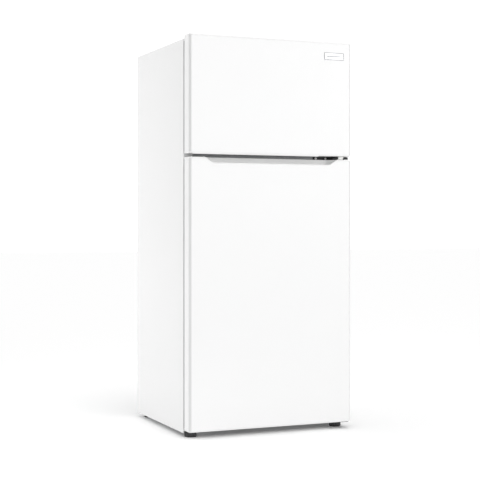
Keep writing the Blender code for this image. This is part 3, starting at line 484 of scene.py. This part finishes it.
RECESS_HALF_LENGTH = 0.320
RECESS_HALF_FLAT = 0.268
RECESS_LIP = 0.0245
LIP_END = 0.004
LIP_STEPS = 16
LIP_LIFT = 0.0002
LIP_SECTION = (
    # (y, z) from the recess's edge at the door's face
    (0.0042, 0.0022), (0.0006, 0.0024), (-0.0008, 0.0018), (-0.0014, 0.0002),
    (-0.0012, -0.0016), (-0.0004, -0.0023), (0.0042, -0.0020),
)
GASKET_SECTION = (
    # (inset in metres, share of the gasket's depth)
    (0.0, 0.0), (0.0, 0.12), (0.0009, 0.16), (0.0019, 0.30), (0.0007, 0.42), (0.0002, 0.50),
    (0.0001, 0.90), (0.0006, 1.0), (0.0114, 1.0), (0.0119, 0.90), (0.0118, 0.50), (0.0113, 0.42),
    (0.0101, 0.30), (0.0111, 0.16), (0.0120, 0.12), (0.0120, 0.0),
)
BADGE_BORDER = (
    # (inset, y) from the plate's face
    (0.0003, 0.0012), (0.0003, -0.0001), (0.0008, -0.0005), (0.0017, -0.0005), (0.0022, -0.0001),
    (0.0022, 0.0012),
)
BADGE_BAR_HALF = (0.034, 0.0019)
RIB_INNER = 0.292
RIB_OUTER = 0.306
LUG_INNER = 0.2905
LUG_OUTER = 0.2935
BAR_HALF_LENGTH = 0.290
BAR_HALF_HEIGHT = 0.010
FREEZER_RIBS = (1.240, 1.615)
FREEZER_LUGS = (1.290, 1.473)
FREEZER_BARS = (1.250, 1.603)
FRIDGE_RIBS = (0.330, 1.080)
FRIDGE_LUGS = (0.385, 0.672)
FRIDGE_BARS = (0.338,)
BINS = {
    "freezer_door": ("freezer_door_bin_lower", "freezer_door_bin_upper"),
    "fridge_door": ("fridge_door_bin_lower", "fridge_door_bin_middle", "dairy_bin"),
}


def recess_drop(x):
    """How far the handle recess has sunk below the door's top at x."""
    outside = (abs(x) - RECESS_HALF_FLAT) / (RECESS_HALF_LENGTH - RECESS_HALF_FLAT)
    t = min(max(1 - outside, 0.0), 1.0)
    return RECESS_LIP * t * t * (3 - 2 * t)


def make_recess_lip():
    """The rolled edge of the handle insert, which laps over the door skin along the recess."""
    low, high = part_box("fridge_door_handle_cap")
    face = low.y
    run = RECESS_HALF_LENGTH - LIP_END - RECESS_HALF_FLAT
    spots = [RECESS_HALF_FLAT + run * k / LIP_STEPS for k in range(LIP_STEPS + 1)]
    rings = []
    for x in [-x for x in reversed(spots)] + [0.0] + spots:
        z = high.z - recess_drop(x) - LIP_LIFT
        rings.append([(x, face + dy, z + dz) for dy, dz in LIP_SECTION])
    bm = bmesh.new()
    add_rings(bm, rings)
    finish_piece("handle_insert_lip", bm, "fridge_door", "white_plastic", crease=60)


def make_seal(door):
    """A hollow magnetic seal: a flat lip on the liner, two bellows folds and a rounded magnet bar."""
    node = f"{door}_seal"
    low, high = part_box(node)
    depth = high.y - low.y
    profile = [(inset, low.y + share * depth) for inset, share in GASKET_SECTION]
    bm = bmesh.new()
    add_frame(bm, (low.x, low.z), (high.x, high.z), profile)
    finish_piece(f"{door}_gasket", bm, door, "seal_rubber", (node,), crease=50)


def make_gap_shade_strip(door):
    """A dark rubber strip beside the gasket, put in the gap beside the cabinet on the handle side as painted
    shade.
    """
    low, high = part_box(f"{door}_seal")
    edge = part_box(f"{door}_skin")[0].x + 0.0015
    painted_shade_area = ((edge, low.y + 0.0006, low.z), (low.x + 0.002, high.y - 0.0012, high.z))
    rounded_blocks(f"{door}_gap_shade_strip", door, "seal_rubber", painted_shade_area, radius=0.002, segments=3)


def make_drip_edge():
    """A rounded bead under the freezer door's front edge, stopping short of the hinge."""
    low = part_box("freezer_door_bottom_cap")[0]
    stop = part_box("middle_hinge_bracket")[0].x - 0.004
    bead = ((low.x + 0.014, low.y + 0.0015, low.z - 0.0030), (stop, low.y + 0.0075, low.z + 0.002))
    rounded_blocks("freezer_door_drip_edge", "freezer_door", "white_plastic", bead, radius=0.0022,
                   segments=3)


def make_door_liner(door, ribs, lugs, bars):
    """The moulded door back: a flat rim, two thick ribs, cross bars and the lugs that the bins drop onto."""
    node = f"{door}_liner"
    low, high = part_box(node)
    front = low.y + 0.001
    rear = low.y + 0.002
    bm = bmesh.new()
    add_box(bm, (low.x, low.y, low.z), (high.x, rear, high.z), 0.0008)
    for side in (-1, 1):
        left, right = side_span(side, RIB_INNER, RIB_OUTER)
        add_box(bm, (left, front, ribs[0]), (right, high.y, ribs[1]), 0.005, 4)
    for z in bars:
        add_box(bm, (-BAR_HALF_LENGTH, front, z - BAR_HALF_HEIGHT),
                (BAR_HALF_LENGTH, rear + 0.006, z + BAR_HALF_HEIGHT), 0.004, 3)
    for z in lugs:
        for side in (-1, 1):
            left, right = side_span(side, LUG_INNER, LUG_OUTER)
            add_box(bm, (left, rear + 0.018, z), (right, rear + 0.034, z + 0.030), 0.001)
    finish_piece(f"{door}_moulding", bm, door, "liner_plastic", (node,))


def make_bin_rail(node, body):
    """The rolled top edge of a bin, along its front and both ends."""
    low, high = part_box(node)
    z = high.z - 0.0025
    inset = 0.0006
    corners = [(low.x + inset, low.y + 0.004, z), (low.x + inset, high.y - inset, z),
               (high.x - inset, high.y - inset, z), (high.x - inset, low.y + 0.004, z)]
    bm = bmesh.new()
    add_tube(bm, rounded_path(corners, 0.012), 0.0026)
    finish_piece(f"{node}_rail", bm, body, "white_plastic")


def make_badge_trim():
    """A raised border and one plain bar on the plate, with no lettering."""
    low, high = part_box("badge")
    middle = (low + high) / 2
    across, up = BADGE_BAR_HALF
    bm = bmesh.new()
    add_frame(bm, (low.x, low.z), (high.x, high.z), [(inset, low.y + dy) for inset, dy in BADGE_BORDER])
    add_box(bm, (middle.x - across, low.y - 0.0003, middle.z - up),
            (middle.x + across, low.y + 0.0004, middle.z + up), 0.0003)
    finish_piece("badge_trim", bm, "freezer_door", "badge_metal", look="badge_edge")


def make_doors():
    make_recess_lip()
    make_seal("freezer_door")
    make_seal("fridge_door")
    make_gap_shade_strip("freezer_door")
    make_gap_shade_strip("fridge_door")
    make_drip_edge()
    make_door_liner("freezer_door", FREEZER_RIBS, FREEZER_LUGS, FREEZER_BARS)
    make_door_liner("fridge_door", FRIDGE_RIBS, FRIDGE_LUGS, FRIDGE_BARS)
    for door, nodes in BINS.items():
        for node in nodes:
            make_bin_rail(node, door)
    make_badge_trim()


# --------------------------------------------------------- inside the cabinet


LINER_WALL = 0.0015
LINER_RADIUS = 0.012
LINER_SIDE_GAP = 0.002
LINER_FRONT = 0.0009
STEP_ROOF = 0.0463
TOUCH = 1e-6
DUCT_HALF = 0.062
SLOT_HALF = 0.044
SLOT_COUNT = 3
SLOT_PITCH = 0.010
SLOT_HEIGHT = 0.005
WIRE_COUNT = 33
WIRE_MARGIN = 0.014
DIAL_MARKS = 7
GRILLE_HALF = (0.058, 0.052)
GRILLE_BORDER = (
    # (inset, y) from the cover's face
    (0.0, 0.0006), (0.0, -0.0030), (0.0012, -0.0042), (0.0040, -0.0042), (0.0052, -0.0030),
                 (0.0052, 0.0006),
)
BULB = (
    (0.002, 0.030), (0.009, 0.028), (0.013, 0.018), (0.0125, 0.008), (0.008, -0.004), (0.007, -0.010),
)
DIAL_RING = ((0.0225, 0.0005), (0.0225, -0.0008), (0.0235, -0.0012), (0.0245, -0.0008), (0.0245, 0.0005))


def liner_shell(bm, outline, half):
    """The inside of a compartment: an outline in Y and Z drawn across X, corners rounded, front open."""
    rings = [[(x, y, z) for y, z in outline] for x in (-half, half)]
    add_rings(bm, rings)
    front = outline[0][0]
    mouth = [face for face in bm.faces if all(abs(vert.co.y - front) < TOUCH for vert in face.verts)]
    bmesh.ops.delete(bm, geom=mouth, context="FACES_ONLY")
    inner = [edge for edge in bm.edges if not all(abs(vert.co.y - front) < TOUCH for vert in edge.verts)]
    bmesh.ops.bevel(bm, geom=inner, offset=LINER_RADIUS, segments=5, profile=0.5, affect="EDGES")


def flare_mouth(bm, liner, low, high):
    """The flange round the mouth, turned outwards as far as the CAD liner's own."""
    corner_low, corner_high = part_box(liner)
    rim = [edge for edge in bm.edges if edge.is_boundary]
    grown = bmesh.ops.extrude_edge_only(bm, edges=rim)["geom"]
    for vert in (item for item in grown if isinstance(item, bmesh.types.BMVert)):
        share = (vert.co.z - low) / (high - low)
        vert.co.x = math.copysign(corner_high.x, vert.co.x)
        vert.co.z = corner_low.z + share * (corner_high.z - corner_low.z)
        vert.co.y -= 0.0002


def shelf_rails(bm, half, spans):
    """Rails moulded in the side walls, just under each shelf."""
    for z, front, rear in spans:
        for side in (-1, 1):
            left, right = side_span(side, half + 0.001, half - 0.010)
            add_box(bm, (left, front, z - 0.0105), (right, rear, z - 0.0005), 0.003, 3)


def make_fridge_liner():
    low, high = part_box("fridge_liner")
    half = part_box("fridge_shelf_upper")[1].x + LINER_SIDE_GAP
    step_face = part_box("crisper_cover")[1].y + 0.001
    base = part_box("crisper_left")[0].z - 0.001
    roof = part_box("control_housing")[1].z + 0.0008
    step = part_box("machine_cover")[1].z + STEP_ROOF + LINER_WALL
    front = low.y + LINER_FRONT
    rear = high.y - LINER_WALL
    outline = [
        (front, base), (step_face, base), (step_face, step), (rear, step), (rear, roof), (front, roof),
    ]
    bm = bmesh.new()
    liner_shell(bm, outline, half)
    flare_mouth(bm, "fridge_liner", base, roof)
    spans = []
    for level in ("lower", "upper"):
        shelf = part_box(f"fridge_shelf_{level}")[0]
        spans.append((shelf.z, shelf.y, rear - 0.001))
    cover_low, cover_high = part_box("crisper_cover")
    spans.append((cover_low.z, cover_low.y, cover_high.y))
    shelf_rails(bm, half, spans)
    finish_piece("fridge_lining", bm, "cabinet", "liner_plastic", ("fridge_liner",), crease=50)
    make_air_duct(rear, step, roof)


def make_air_duct(rear, step, roof):
    """The cold air channel down the back wall, with dark bars of painted shade for an outlet above each shelf.
    """
    bm = bmesh.new()
    add_box(bm, (-DUCT_HALF, rear - 0.007, step + 0.060), (DUCT_HALF, rear + 0.001, roof - 0.070), 0.004, 3)
    finish_piece("air_duct", bm, "cabinet", "liner_plastic")
    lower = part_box("fridge_shelf_lower")[1].z + 0.140
    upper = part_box("fridge_shelf_upper")[1].z + 0.100
    # The outlets are dark plastic bars on the duct's face: painted shade in place of openings.
    bm = bmesh.new()
    for z in (lower, upper, step + 0.130):
        for row in range(SLOT_COUNT):
            height = z + row * SLOT_PITCH
            add_box(bm, (-SLOT_HALF, rear - 0.0076, height),
                    (SLOT_HALF, rear - 0.0060, height + SLOT_HEIGHT), 0.0006)
    finish_piece("air_duct_slot_shade", bm, "cabinet", "foot_plastic")


def make_freezer_liner():
    low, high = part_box("freezer_liner")
    cover_low, cover_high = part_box("evaporator_cover")
    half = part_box("fridge_shelf_upper")[1].x + LINER_SIDE_GAP
    base = cover_low.z - 0.0005
    roof = cover_high.z + 0.0005
    front = low.y + LINER_FRONT
    rear = high.y - LINER_WALL
    outline = [(front, base), (rear, base), (rear, roof), (front, roof)]
    bm = bmesh.new()
    liner_shell(bm, outline, half)
    flare_mouth(bm, "freezer_liner", base, roof)
    shelf_low, shelf_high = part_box("freezer_shelf")
    shelf_rails(bm, half, [(shelf_low.z, shelf_low.y, shelf_high.y)])
    finish_piece("freezer_lining", bm, "cabinet", "liner_plastic", ("freezer_liner",), crease=50)


def make_wire_shelf():
    """White coated wires: a bent rim, two rails under it, and fine wires from front to back."""
    low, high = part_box("freezer_shelf")
    z = (low.z + high.z) / 2
    r = 0.003
    corners = [(0.0, low.y + r, z), (high.x - r, low.y + r, z), (high.x - r, high.y - r, z),
               (low.x + r, high.y - r, z), (low.x + r, low.y + r, z), (-0.001, low.y + r, z)]
    bm = bmesh.new()
    add_tube(bm, rounded_path(corners, 0.014), r)
    for y in (low.y + 0.020, (low.y + high.y) / 2):
        add_tube(bm, [(low.x + r, y, z - 0.0008), (high.x - r, y, z - 0.0008)], 0.0022)
    spread = high.x - low.x - 2 * WIRE_MARGIN
    for k in range(WIRE_COUNT):
        x = low.x + WIRE_MARGIN + spread * k / (WIRE_COUNT - 1)
        path = [(x, high.y - r, z + 0.001), (x, low.y + 0.010, z + 0.001), (x, low.y + r, z + 0.0005)]
        add_tube(bm, path, 0.0015, sides=8)
    finish_piece("freezer_wire_shelf", bm, "cabinet", "white_enamel", ("freezer_shelf",))


def make_shelf_trims():
    """Extrusions that clip over the front and rear edges of each glass."""
    for node in ("fridge_shelf_lower", "fridge_shelf_upper", "crisper_cover"):
        low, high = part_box(node)
        front = ((low.x, low.y - 0.004, low.z - 0.0035), (high.x, low.y + 0.011, high.z + 0.0035))
        rear = ((low.x, high.y - 0.010, low.z - 0.002), (high.x, high.y + 0.0005, high.z + 0.006))
        rounded_blocks(f"{node}_trims", "cabinet", "white_plastic", front, rear, radius=0.002, segments=3)
    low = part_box("crisper_cover")[0]
    for side, x in (("left", -0.160), ("right", 0.160)):
        # Each slider runs in a dark plastic strip: painted shade in place of the slot's opening.
        slot_shade = ((x - 0.045, low.y - 0.0046, low.z + 0.001), (x + 0.045, low.y - 0.0030, low.z + 0.005))
        rounded_blocks(f"humidity_slot_shade_{side}", "cabinet", "foot_plastic", slot_shade, radius=0.0006)
        slider = ((x - 0.012, low.y - 0.0075, low.z - 0.001), (x + 0.004, low.y - 0.0035, low.z + 0.007))
        rounded_blocks(f"humidity_slider_{side}", "cabinet", "white_plastic", slider, radius=0.0012)


def make_dial_marks():
    """A raised ring round the knob with seven marks of growing length."""
    low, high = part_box("temperature_knob")
    x, z = (low.x + high.x) / 2, (low.z + high.z) / 2
    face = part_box("control_housing")[0].y
    bm = bmesh.new()
    add_turned(bm, DIAL_RING, (x, face, z), "Y", sides=40)
    finish_piece("dial_ring", bm, "cabinet", "white_plastic")
    bm = bmesh.new()
    for k in range(DIAL_MARKS):
        angle = math.radians(-120 + 40 * k)
        start = 0.0258
        end = 0.0272 + 0.0003 * k
        reach = (start + end) / 2
        half = (end - start) / 2
        spot = Vector((x + math.sin(angle) * reach, face, z + math.cos(angle) * reach))
        verts = bare_box(bm, (-0.0006, -0.0005, -half), (0.0006, 0.0004, half))
        turn = Matrix.Translation(spot) @ Matrix.Rotation(angle, 4, "Y")
        bmesh.ops.transform(bm, matrix=turn, verts=verts)
    finish_piece("dial_marks", bm, "cabinet", "foot_plastic")


def make_lamp():
    """A small bulb lying in its holder behind the clear cover."""
    low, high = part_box("lamp_cover")
    middle = (low + high) / 2
    z = high.z + 0.018
    bm = bmesh.new()
    add_turned(bm, BULB, (middle.x, middle.y, z), "Y", sides=24, flip=-1)
    finish_piece("lamp_bulb", bm, "cabinet", "nylon")
    bm = bmesh.new()
    threads = [(0.0068 + 0.0006 * (k % 2), 0.010 + 0.0012 * k) for k in range(10)]
    add_turned(bm, threads, (middle.x, middle.y, z), "Y", sides=24)
    finish_piece("lamp_base", bm, "cabinet", "zinc_steel")
    holder = ((middle.x - 0.013, middle.y + 0.016, z - 0.013),
              (middle.x + 0.013, middle.y + 0.040, z + 0.013))
    rounded_blocks("lamp_holder", "cabinet", "white_plastic", holder, radius=0.003)


def make_evaporator_detail():
    """The rim round the fan's louvres, and the screws that hold the panel."""
    low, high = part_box("evaporator_cover")
    fan_low, fan_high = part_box("evaporator_fan_blade")
    z = (fan_low.z + fan_high.z) / 2
    across, up = GRILLE_HALF
    bm = bmesh.new()
    add_frame(bm, (-across, z - up), (across, z + up), [(inset, low.y + dy) for inset, dy in GRILLE_BORDER])
    finish_piece("fan_grille_rim", bm, "cabinet", "liner_plastic")
    bm = bmesh.new()
    for x in (low.x + 0.030, high.x - 0.030):
        for height in (low.z + 0.050, high.z - 0.025):
            screw(bm, (x, low.y, height), "Y", -1)
    finish_piece("evaporator_cover_screws", bm, "cabinet", "zinc_steel")


def make_inside():
    make_fridge_liner()
    make_freezer_liner()
    make_wire_shelf()
    make_shelf_trims()
    make_dial_marks()
    make_lamp()
    make_evaporator_detail()


# ------------------------------------------------ hinges, feet, rollers, back


def make_foot(side):
    """A levelling foot: a ribbed grip, a nut on it and a threaded stem."""
    node = f"front_foot_{side}"
    low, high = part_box(node)
    centre = ((low.x + high.x) / 2, (low.y + high.y) / 2, 0.0)
    radius = (high.x - low.x) / 2
    bm = bmesh.new()
    grip = [(radius * 0.90, 0.0), (radius * 0.955, 0.0016), (radius * 0.965, 0.0040),
            (radius * 0.955, 0.0120),
            (radius * 0.965, 0.0205), (radius * 0.93, 0.0235), (radius * 0.80, 0.0250)]
    add_turned(bm, grip, centre, sides=192, lobes=24, depth=0.0009)
    nut = [(0.0098, 0.0249), (0.0100, 0.0252), (0.0100, 0.0290), (0.0096, 0.0294)]
    add_turned(bm, nut, centre, sides=6)
    thread = []
    for k in range(22):
        z = 0.0293 + 0.00125 * k
        thread += [(0.0050, z), (0.0057, z + 0.0005)]
    add_turned(bm, thread, centre, sides=20)
    finish_piece(f"levelling_foot_{side}", bm, node, "foot_plastic", (node,), crease=45)


def make_roller(side):
    node = f"rear_roller_{side}"
    low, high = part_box(node)
    centre = tuple((low + high) / 2)
    half = (high.x - low.x) / 2
    rim = (high.z - low.z) / 2
    profile = [(0.0037, -half), (0.007, -half), (0.0075, -half + 0.002), (rim - 0.004, -half + 0.002),
               (rim - 0.0025, -half), (rim - 0.001, -half + 0.0006), (rim, -half + 0.002), (rim, -0.0015),
               (rim - 0.0012, -0.0008), (rim - 0.0012, 0.0008), (rim, 0.0015), (rim, half - 0.002),
               (rim - 0.001, half - 0.0006), (rim - 0.0025, half), (rim - 0.004, half - 0.002),
               (0.0075, half - 0.002), (0.007, half), (0.0037, half)]
    bm = bmesh.new()
    add_turned(bm, profile, centre, "X", sides=48)
    finish_piece(f"castor_wheel_{side}", bm, node, "foot_plastic", (node,))


def make_hinge_screws():
    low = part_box("middle_hinge_bracket")[0]
    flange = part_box("cabinet_shell")[0].y - 0.0028
    z = (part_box("freezer_door_bottom_cap")[0].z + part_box("fridge_door_handle_cap")[1].z) / 2
    bm = bmesh.new()
    for x in (low.x + 0.014, low.x + 0.062):
        screw(bm, (x, flange, z), "Y", -1, radius=0.0042, height=0.0018)
    finish_piece("middle_hinge_screws", bm, "cabinet", "zinc_steel")
    low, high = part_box("bottom_hinge_bracket")
    bm = bmesh.new()
    for x in (low.x + 0.010, low.x + 0.028):
        add_turned(bm, [(0.0062, 0.0), (0.0064, -0.0005), (0.0060, -0.0034), (0.0030, -0.0040)],
                   (x, high.y - 0.018, low.z), sides=6)
    finish_piece("bottom_hinge_bolts", bm, "cabinet", "zinc_steel")
    low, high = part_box("top_hinge_bracket")
    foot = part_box("cabinet_shell")[1].z + 0.0033
    bm = bmesh.new()
    for x, y in ((low.x + 0.009, high.y - 0.012), (high.x - 0.009, high.y - 0.012),
                 (low.x + 0.018, high.y - 0.034)):
        add_turned(bm, [(0.0078, 0.0), (0.0078, 0.001), (0.0062, 0.0012), (0.0060, 0.0045),
                        (0.0030, 0.0050)],
                   (x, y, foot), sides=6)
    finish_piece("top_hinge_bolts", bm, "cabinet", "zinc_steel")


def make_hinge_end():
    """A light spacer clipped over the front of the middle hinge, and the dark end of its plate beside it."""
    low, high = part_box("middle_hinge_bracket")
    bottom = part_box("fridge_door_handle_cap")[1].z + 0.0012
    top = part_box("freezer_door_bottom_cap")[0].z - 0.0012
    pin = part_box("middle_hinge_cam")
    x = (pin[0].x + pin[1].x) / 2
    light = ((x - 0.025, low.y - 0.003, bottom), (x - 0.002, low.y + 0.004, top))
    rounded_blocks("middle_hinge_spacer", "cabinet", "nylon", light, radius=0.002, segments=3)
    dark = ((x + 0.002, low.y - 0.001, bottom + 0.001), (high.x - 0.001, low.y + 0.004, top - 0.001))
    rounded_blocks("middle_hinge_tip", "cabinet", "black_steel", dark, radius=0.0012)


PIN_FROM_SIDE = 0.026
PIN_FROM_REAR = 0.034


def make_hole_plugs():
    """Snap-in plugs in the holes for a left-hand hinge."""
    low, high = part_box("cabinet_shell")
    bm = bmesh.new()
    for x, y in ((0.018, 0.024), (0.040, 0.024), (0.029, 0.050)):
        add_turned(bm, [(0.0058, -0.0002), (0.0060, 0.0004), (0.0052, 0.0011), (0.0010, 0.0013)],
                   (low.x + x, low.y + y, high.z), sides=28)
    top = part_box("freezer_door_top_cap")
    pin = (top[0].x + PIN_FROM_SIDE, top[1].y - PIN_FROM_REAR)
    finish_piece("top_hole_plugs", bm, "cabinet", "white_plastic")
    bm = bmesh.new()
    add_turned(bm, [(0.0062, -0.0002), (0.0064, 0.0003), (0.0055, 0.0009), (0.0010, 0.0010)],
               (pin[0], pin[1], top[1].z), sides=28)
    finish_piece("freezer_door_plug", bm, "freezer_door", "white_plastic")


SMALL_SCREW = {"radius": 0.0038, "height": 0.0014}


def make_back():
    """Screws round the back panel and on the machine cover, and the beads pressed in the panel."""
    low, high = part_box("back_panel")
    bm = bmesh.new()
    for k in range(6):
        z = low.z + 0.020 + (high.z - low.z - 0.040) * k / 5
        for x in (low.x + 0.012, high.x - 0.012):
            screw(bm, (x, high.y, z), "Y", 1, **SMALL_SCREW)
    for k in range(1, 4):
        x = low.x + (high.x - low.x) * k / 4
        screw(bm, (x, high.y, high.z - 0.014), "Y", 1, **SMALL_SCREW)
    cover_low, cover_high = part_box("machine_cover")
    for x in (cover_low.x + 0.014, 0.0, cover_high.x - 0.014):
        for z in (cover_low.z + 0.012, cover_high.z - 0.010):
            screw(bm, (x, cover_high.y, z), "Y", 1, **SMALL_SCREW)
    finish_piece("back_screws", bm, "cabinet", "zinc_steel")
    bm = bmesh.new()
    for side in (-1, 1):
        x = side * 0.200
        add_box(bm, (x - 0.006, high.y - 0.0006, low.z + 0.120),
                (x + 0.006, high.y + 0.0012, high.z - 0.140),
                0.0010, 3)
    for z in (low.z + 0.110, high.z - 0.130):
        add_box(bm, (-0.240, high.y - 0.0006, z - 0.005), (0.240, high.y + 0.0012, z + 0.005), 0.0010, 3)
    finish_piece("back_panel_beads", bm, "cabinet", "galvanised_steel")


def make_compressor_detail():
    """Rubber mounts, the terminal box, and copper pipes to the condenser."""
    low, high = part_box("compressor")
    middle = (low + high) / 2
    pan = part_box("base_pan")[0].z + 0.0015
    bm = bmesh.new()
    for dx in (-0.078, 0.078):
        for dy in (-0.042, 0.042):
            centre = (middle.x + dx, middle.y + dy, pan)
            add_turned(bm, [(0.0135, 0.0002), (0.0138, 0.003), (0.0115, 0.006), (0.0125, 0.009),
                            (0.0115, 0.012),
                            (0.0130, 0.016), (0.0125, 0.0195)], centre, sides=32)
    finish_piece("compressor_mounts", bm, "cabinet", "seal_rubber")
    box = ((middle.x + 0.058, middle.y - 0.030, low.z + 0.070),
           (middle.x + 0.098, middle.y + 0.030, low.z + 0.128))
    rounded_blocks("compressor_terminal_box", "cabinet", "foot_plastic", box, radius=0.004, segments=3)
    coil_low, coil_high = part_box("condenser_coil")
    coil_y = (coil_low.y + coil_high.y) / 2
    r = 0.0032
    bm = bmesh.new()
    top = coil_high.z - 0.0035
    out = [(middle.x - 0.060, middle.y + 0.020, low.z + 0.110),
           (middle.x - 0.095, middle.y + 0.020, low.z + 0.110),
           (middle.x - 0.110, coil_y, low.z + 0.150), (0.070, coil_y, top), (0.044, coil_y, top)]
    add_tube(bm, rounded_path(out, 0.012), r)
    back = [(middle.x - 0.052, middle.y - 0.030, low.z + 0.100),
            (middle.x - 0.085, middle.y - 0.045, low.z + 0.100),
            (middle.x - 0.085, middle.y - 0.058, low.z + 0.150),
            (middle.x - 0.085, middle.y - 0.058, low.z + 0.200)]
    add_tube(bm, rounded_path(back, 0.012), r)
    finish_piece("compressor_pipes", bm, "cabinet", "copper")
    bm = bmesh.new()
    for y in (coil_y - 0.0045, coil_y + 0.0045):
        for k in range(46):
            x = -0.318 + 0.0078 * k
            add_tube(bm, [(x, y, coil_low.z - 0.003), (x, y, coil_high.z + 0.003)], 0.0008, sides=6)
    finish_piece("condenser_wires", bm, "cabinet", "black_steel")


def make_outside():
    for side in ("left", "right"):
        make_foot(side)
        make_roller(side)
    make_hinge_screws()
    make_hinge_end()
    make_hole_plugs()
    make_back()
    make_compressor_detail()


# ------------------------------------------------------------- studio, camera


FLOOR_HALF = 30.0
FLOOR_WHITE = 0.990
FLOOR_GLOW = 0.075


def make_floor():
    """A wide white table, lit a little from below so that shadows on it stay soft."""
    bm = bmesh.new()
    bmesh.ops.create_grid(bm, x_segments=8, y_segments=8, size=FLOOR_HALF)
    mesh = bpy.data.meshes.new("floor")
    bm.to_mesh(mesh)
    bm.free()
    floor = bpy.data.objects.new("floor", mesh)
    bpy.context.scene.collection.objects.link(floor)
    paint = surface("floor_paint", (FLOOR_WHITE, FLOOR_WHITE, FLOOR_WHITE), 0.85, variation=0.001,
                    cloud=2.0)
    shader = next(node for node in paint.node_tree.nodes if node.type == "BSDF_PRINCIPLED")
    shader.inputs["Specular IOR Level"].default_value = 0.0
    shader.inputs["Emission Color"].default_value = (1.0, 1.0, 1.0, 1.0)
    shader.inputs["Emission Strength"].default_value = FLOOR_GLOW
    floor.data.materials.append(paint)


def area_light(name, place, target, size, power):
    data = bpy.data.lights.new(name, "AREA")
    data.shape = "RECTANGLE"
    data.size, data.size_y = size
    data.energy = power
    light = bpy.data.objects.new(name, data)
    light.location = place
    light.rotation_euler = (Vector(target) - Vector(place)).to_track_quat("-Z", "Y").to_euler()
    bpy.context.scene.collection.objects.link(light)


LIGHTS = (
    # (name, where it stands, what it is aimed at, its width and height, watts)
    ("rear_left_strip", (-2.2, 1.1, 1.0), (-0.38, 0.1, 0.9), (0.8, 2.6), 19.0),
    ("front_right_box", (2.3, -2.3, 2.1), (0.25, -0.34, 1.2), (1.4, 1.8), 8.0),
)
SKY = 1.024
BACKDROP = 1.15
PANELS = (
    # (direction of a panel or flag in the tent, light it adds or takes away, how narrow it is)
    ((-0.80, -0.60, 0.05), -0.76, 5.0),
    ((-0.39, -0.92, 0.0), -0.314, 8.0),
    ((-0.85, 0.50, 0.10), -0.373, 4.0),
    ((0.50, -0.85, 0.20), 0.90, 3.0),
    ((0.0, 0.0, 1.0), -0.020, 1.0),
    ((1.0, 0.18, 0.0), -0.95, 3.0),
    ((0.55, 0.83, 0.0), -1.10, 6.0),
)


def white_tent():
    """A white tent round the object, brighter at the front right and greyer where edges look dark."""
    world = bpy.data.worlds.new("studio")
    world.use_nodes = True
    tree = world.node_tree
    direction = tree.nodes.new("ShaderNodeTexCoord").outputs["Generated"]
    strength = SKY
    for aim, amount, narrow in PANELS:
        dot = tree.nodes.new("ShaderNodeVectorMath")
        dot.operation = "DOT_PRODUCT"
        dot.inputs[1].default_value = Vector(aim).normalized()
        tree.links.new(direction, dot.inputs[0])
        lobe = math_node(tree, "POWER", math_node(tree, "MAXIMUM", dot.outputs["Value"], 0.0), narrow)
        strength = math_node(tree, "ADD", math_node(tree, "MULTIPLY", lobe, amount), strength)
    background = tree.nodes["Background"]
    background.inputs["Color"].default_value = (1.0, 1.0, 1.0, 1.0)
    seen = tree.nodes.new("ShaderNodeLightPath").outputs["Is Camera Ray"]
    lift = math_node(tree, "MULTIPLY", math_node(tree, "SUBTRACT", BACKDROP, strength), seen)
    tree.links.new(math_node(tree, "ADD", strength, lift), background.inputs["Strength"])
    bpy.context.scene.world = world


def make_studio():
    white_tent()
    for light in LIGHTS:
        area_light(*light)
    view = bpy.context.scene.view_settings
    view.view_transform = "Standard"
    view.look = "None"


CAMERA_FROM_FACE = 4.756
CAMERA_X = -2.146
CAMERA_Z = 0.909
CAMERA_YAW = 23.06
CAMERA_LENS = 90.31
CAMERA_SHIFT = -0.0383
CAMERA_SENSOR = 36.0
CAMERA_REACH = 200.0


def make_camera():
    data = bpy.data.cameras.new("camera")
    data.lens = CAMERA_LENS
    data.sensor_width = CAMERA_SENSOR
    data.shift_y = CAMERA_SHIFT
    data.clip_end = CAMERA_REACH
    camera = bpy.data.objects.new("camera", data)
    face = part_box("mullion_rail")[0].y
    camera.location = (CAMERA_X, face - CAMERA_FROM_FACE, CAMERA_Z)
    camera.rotation_euler = (math.radians(90), 0, math.radians(-CAMERA_YAW))
    bpy.context.scene.collection.objects.link(camera)
    bpy.context.scene.camera = camera


make_camera()
make_studio()
make_floor()
dress_cad_nodes()
make_doors()
make_inside()
make_outside()
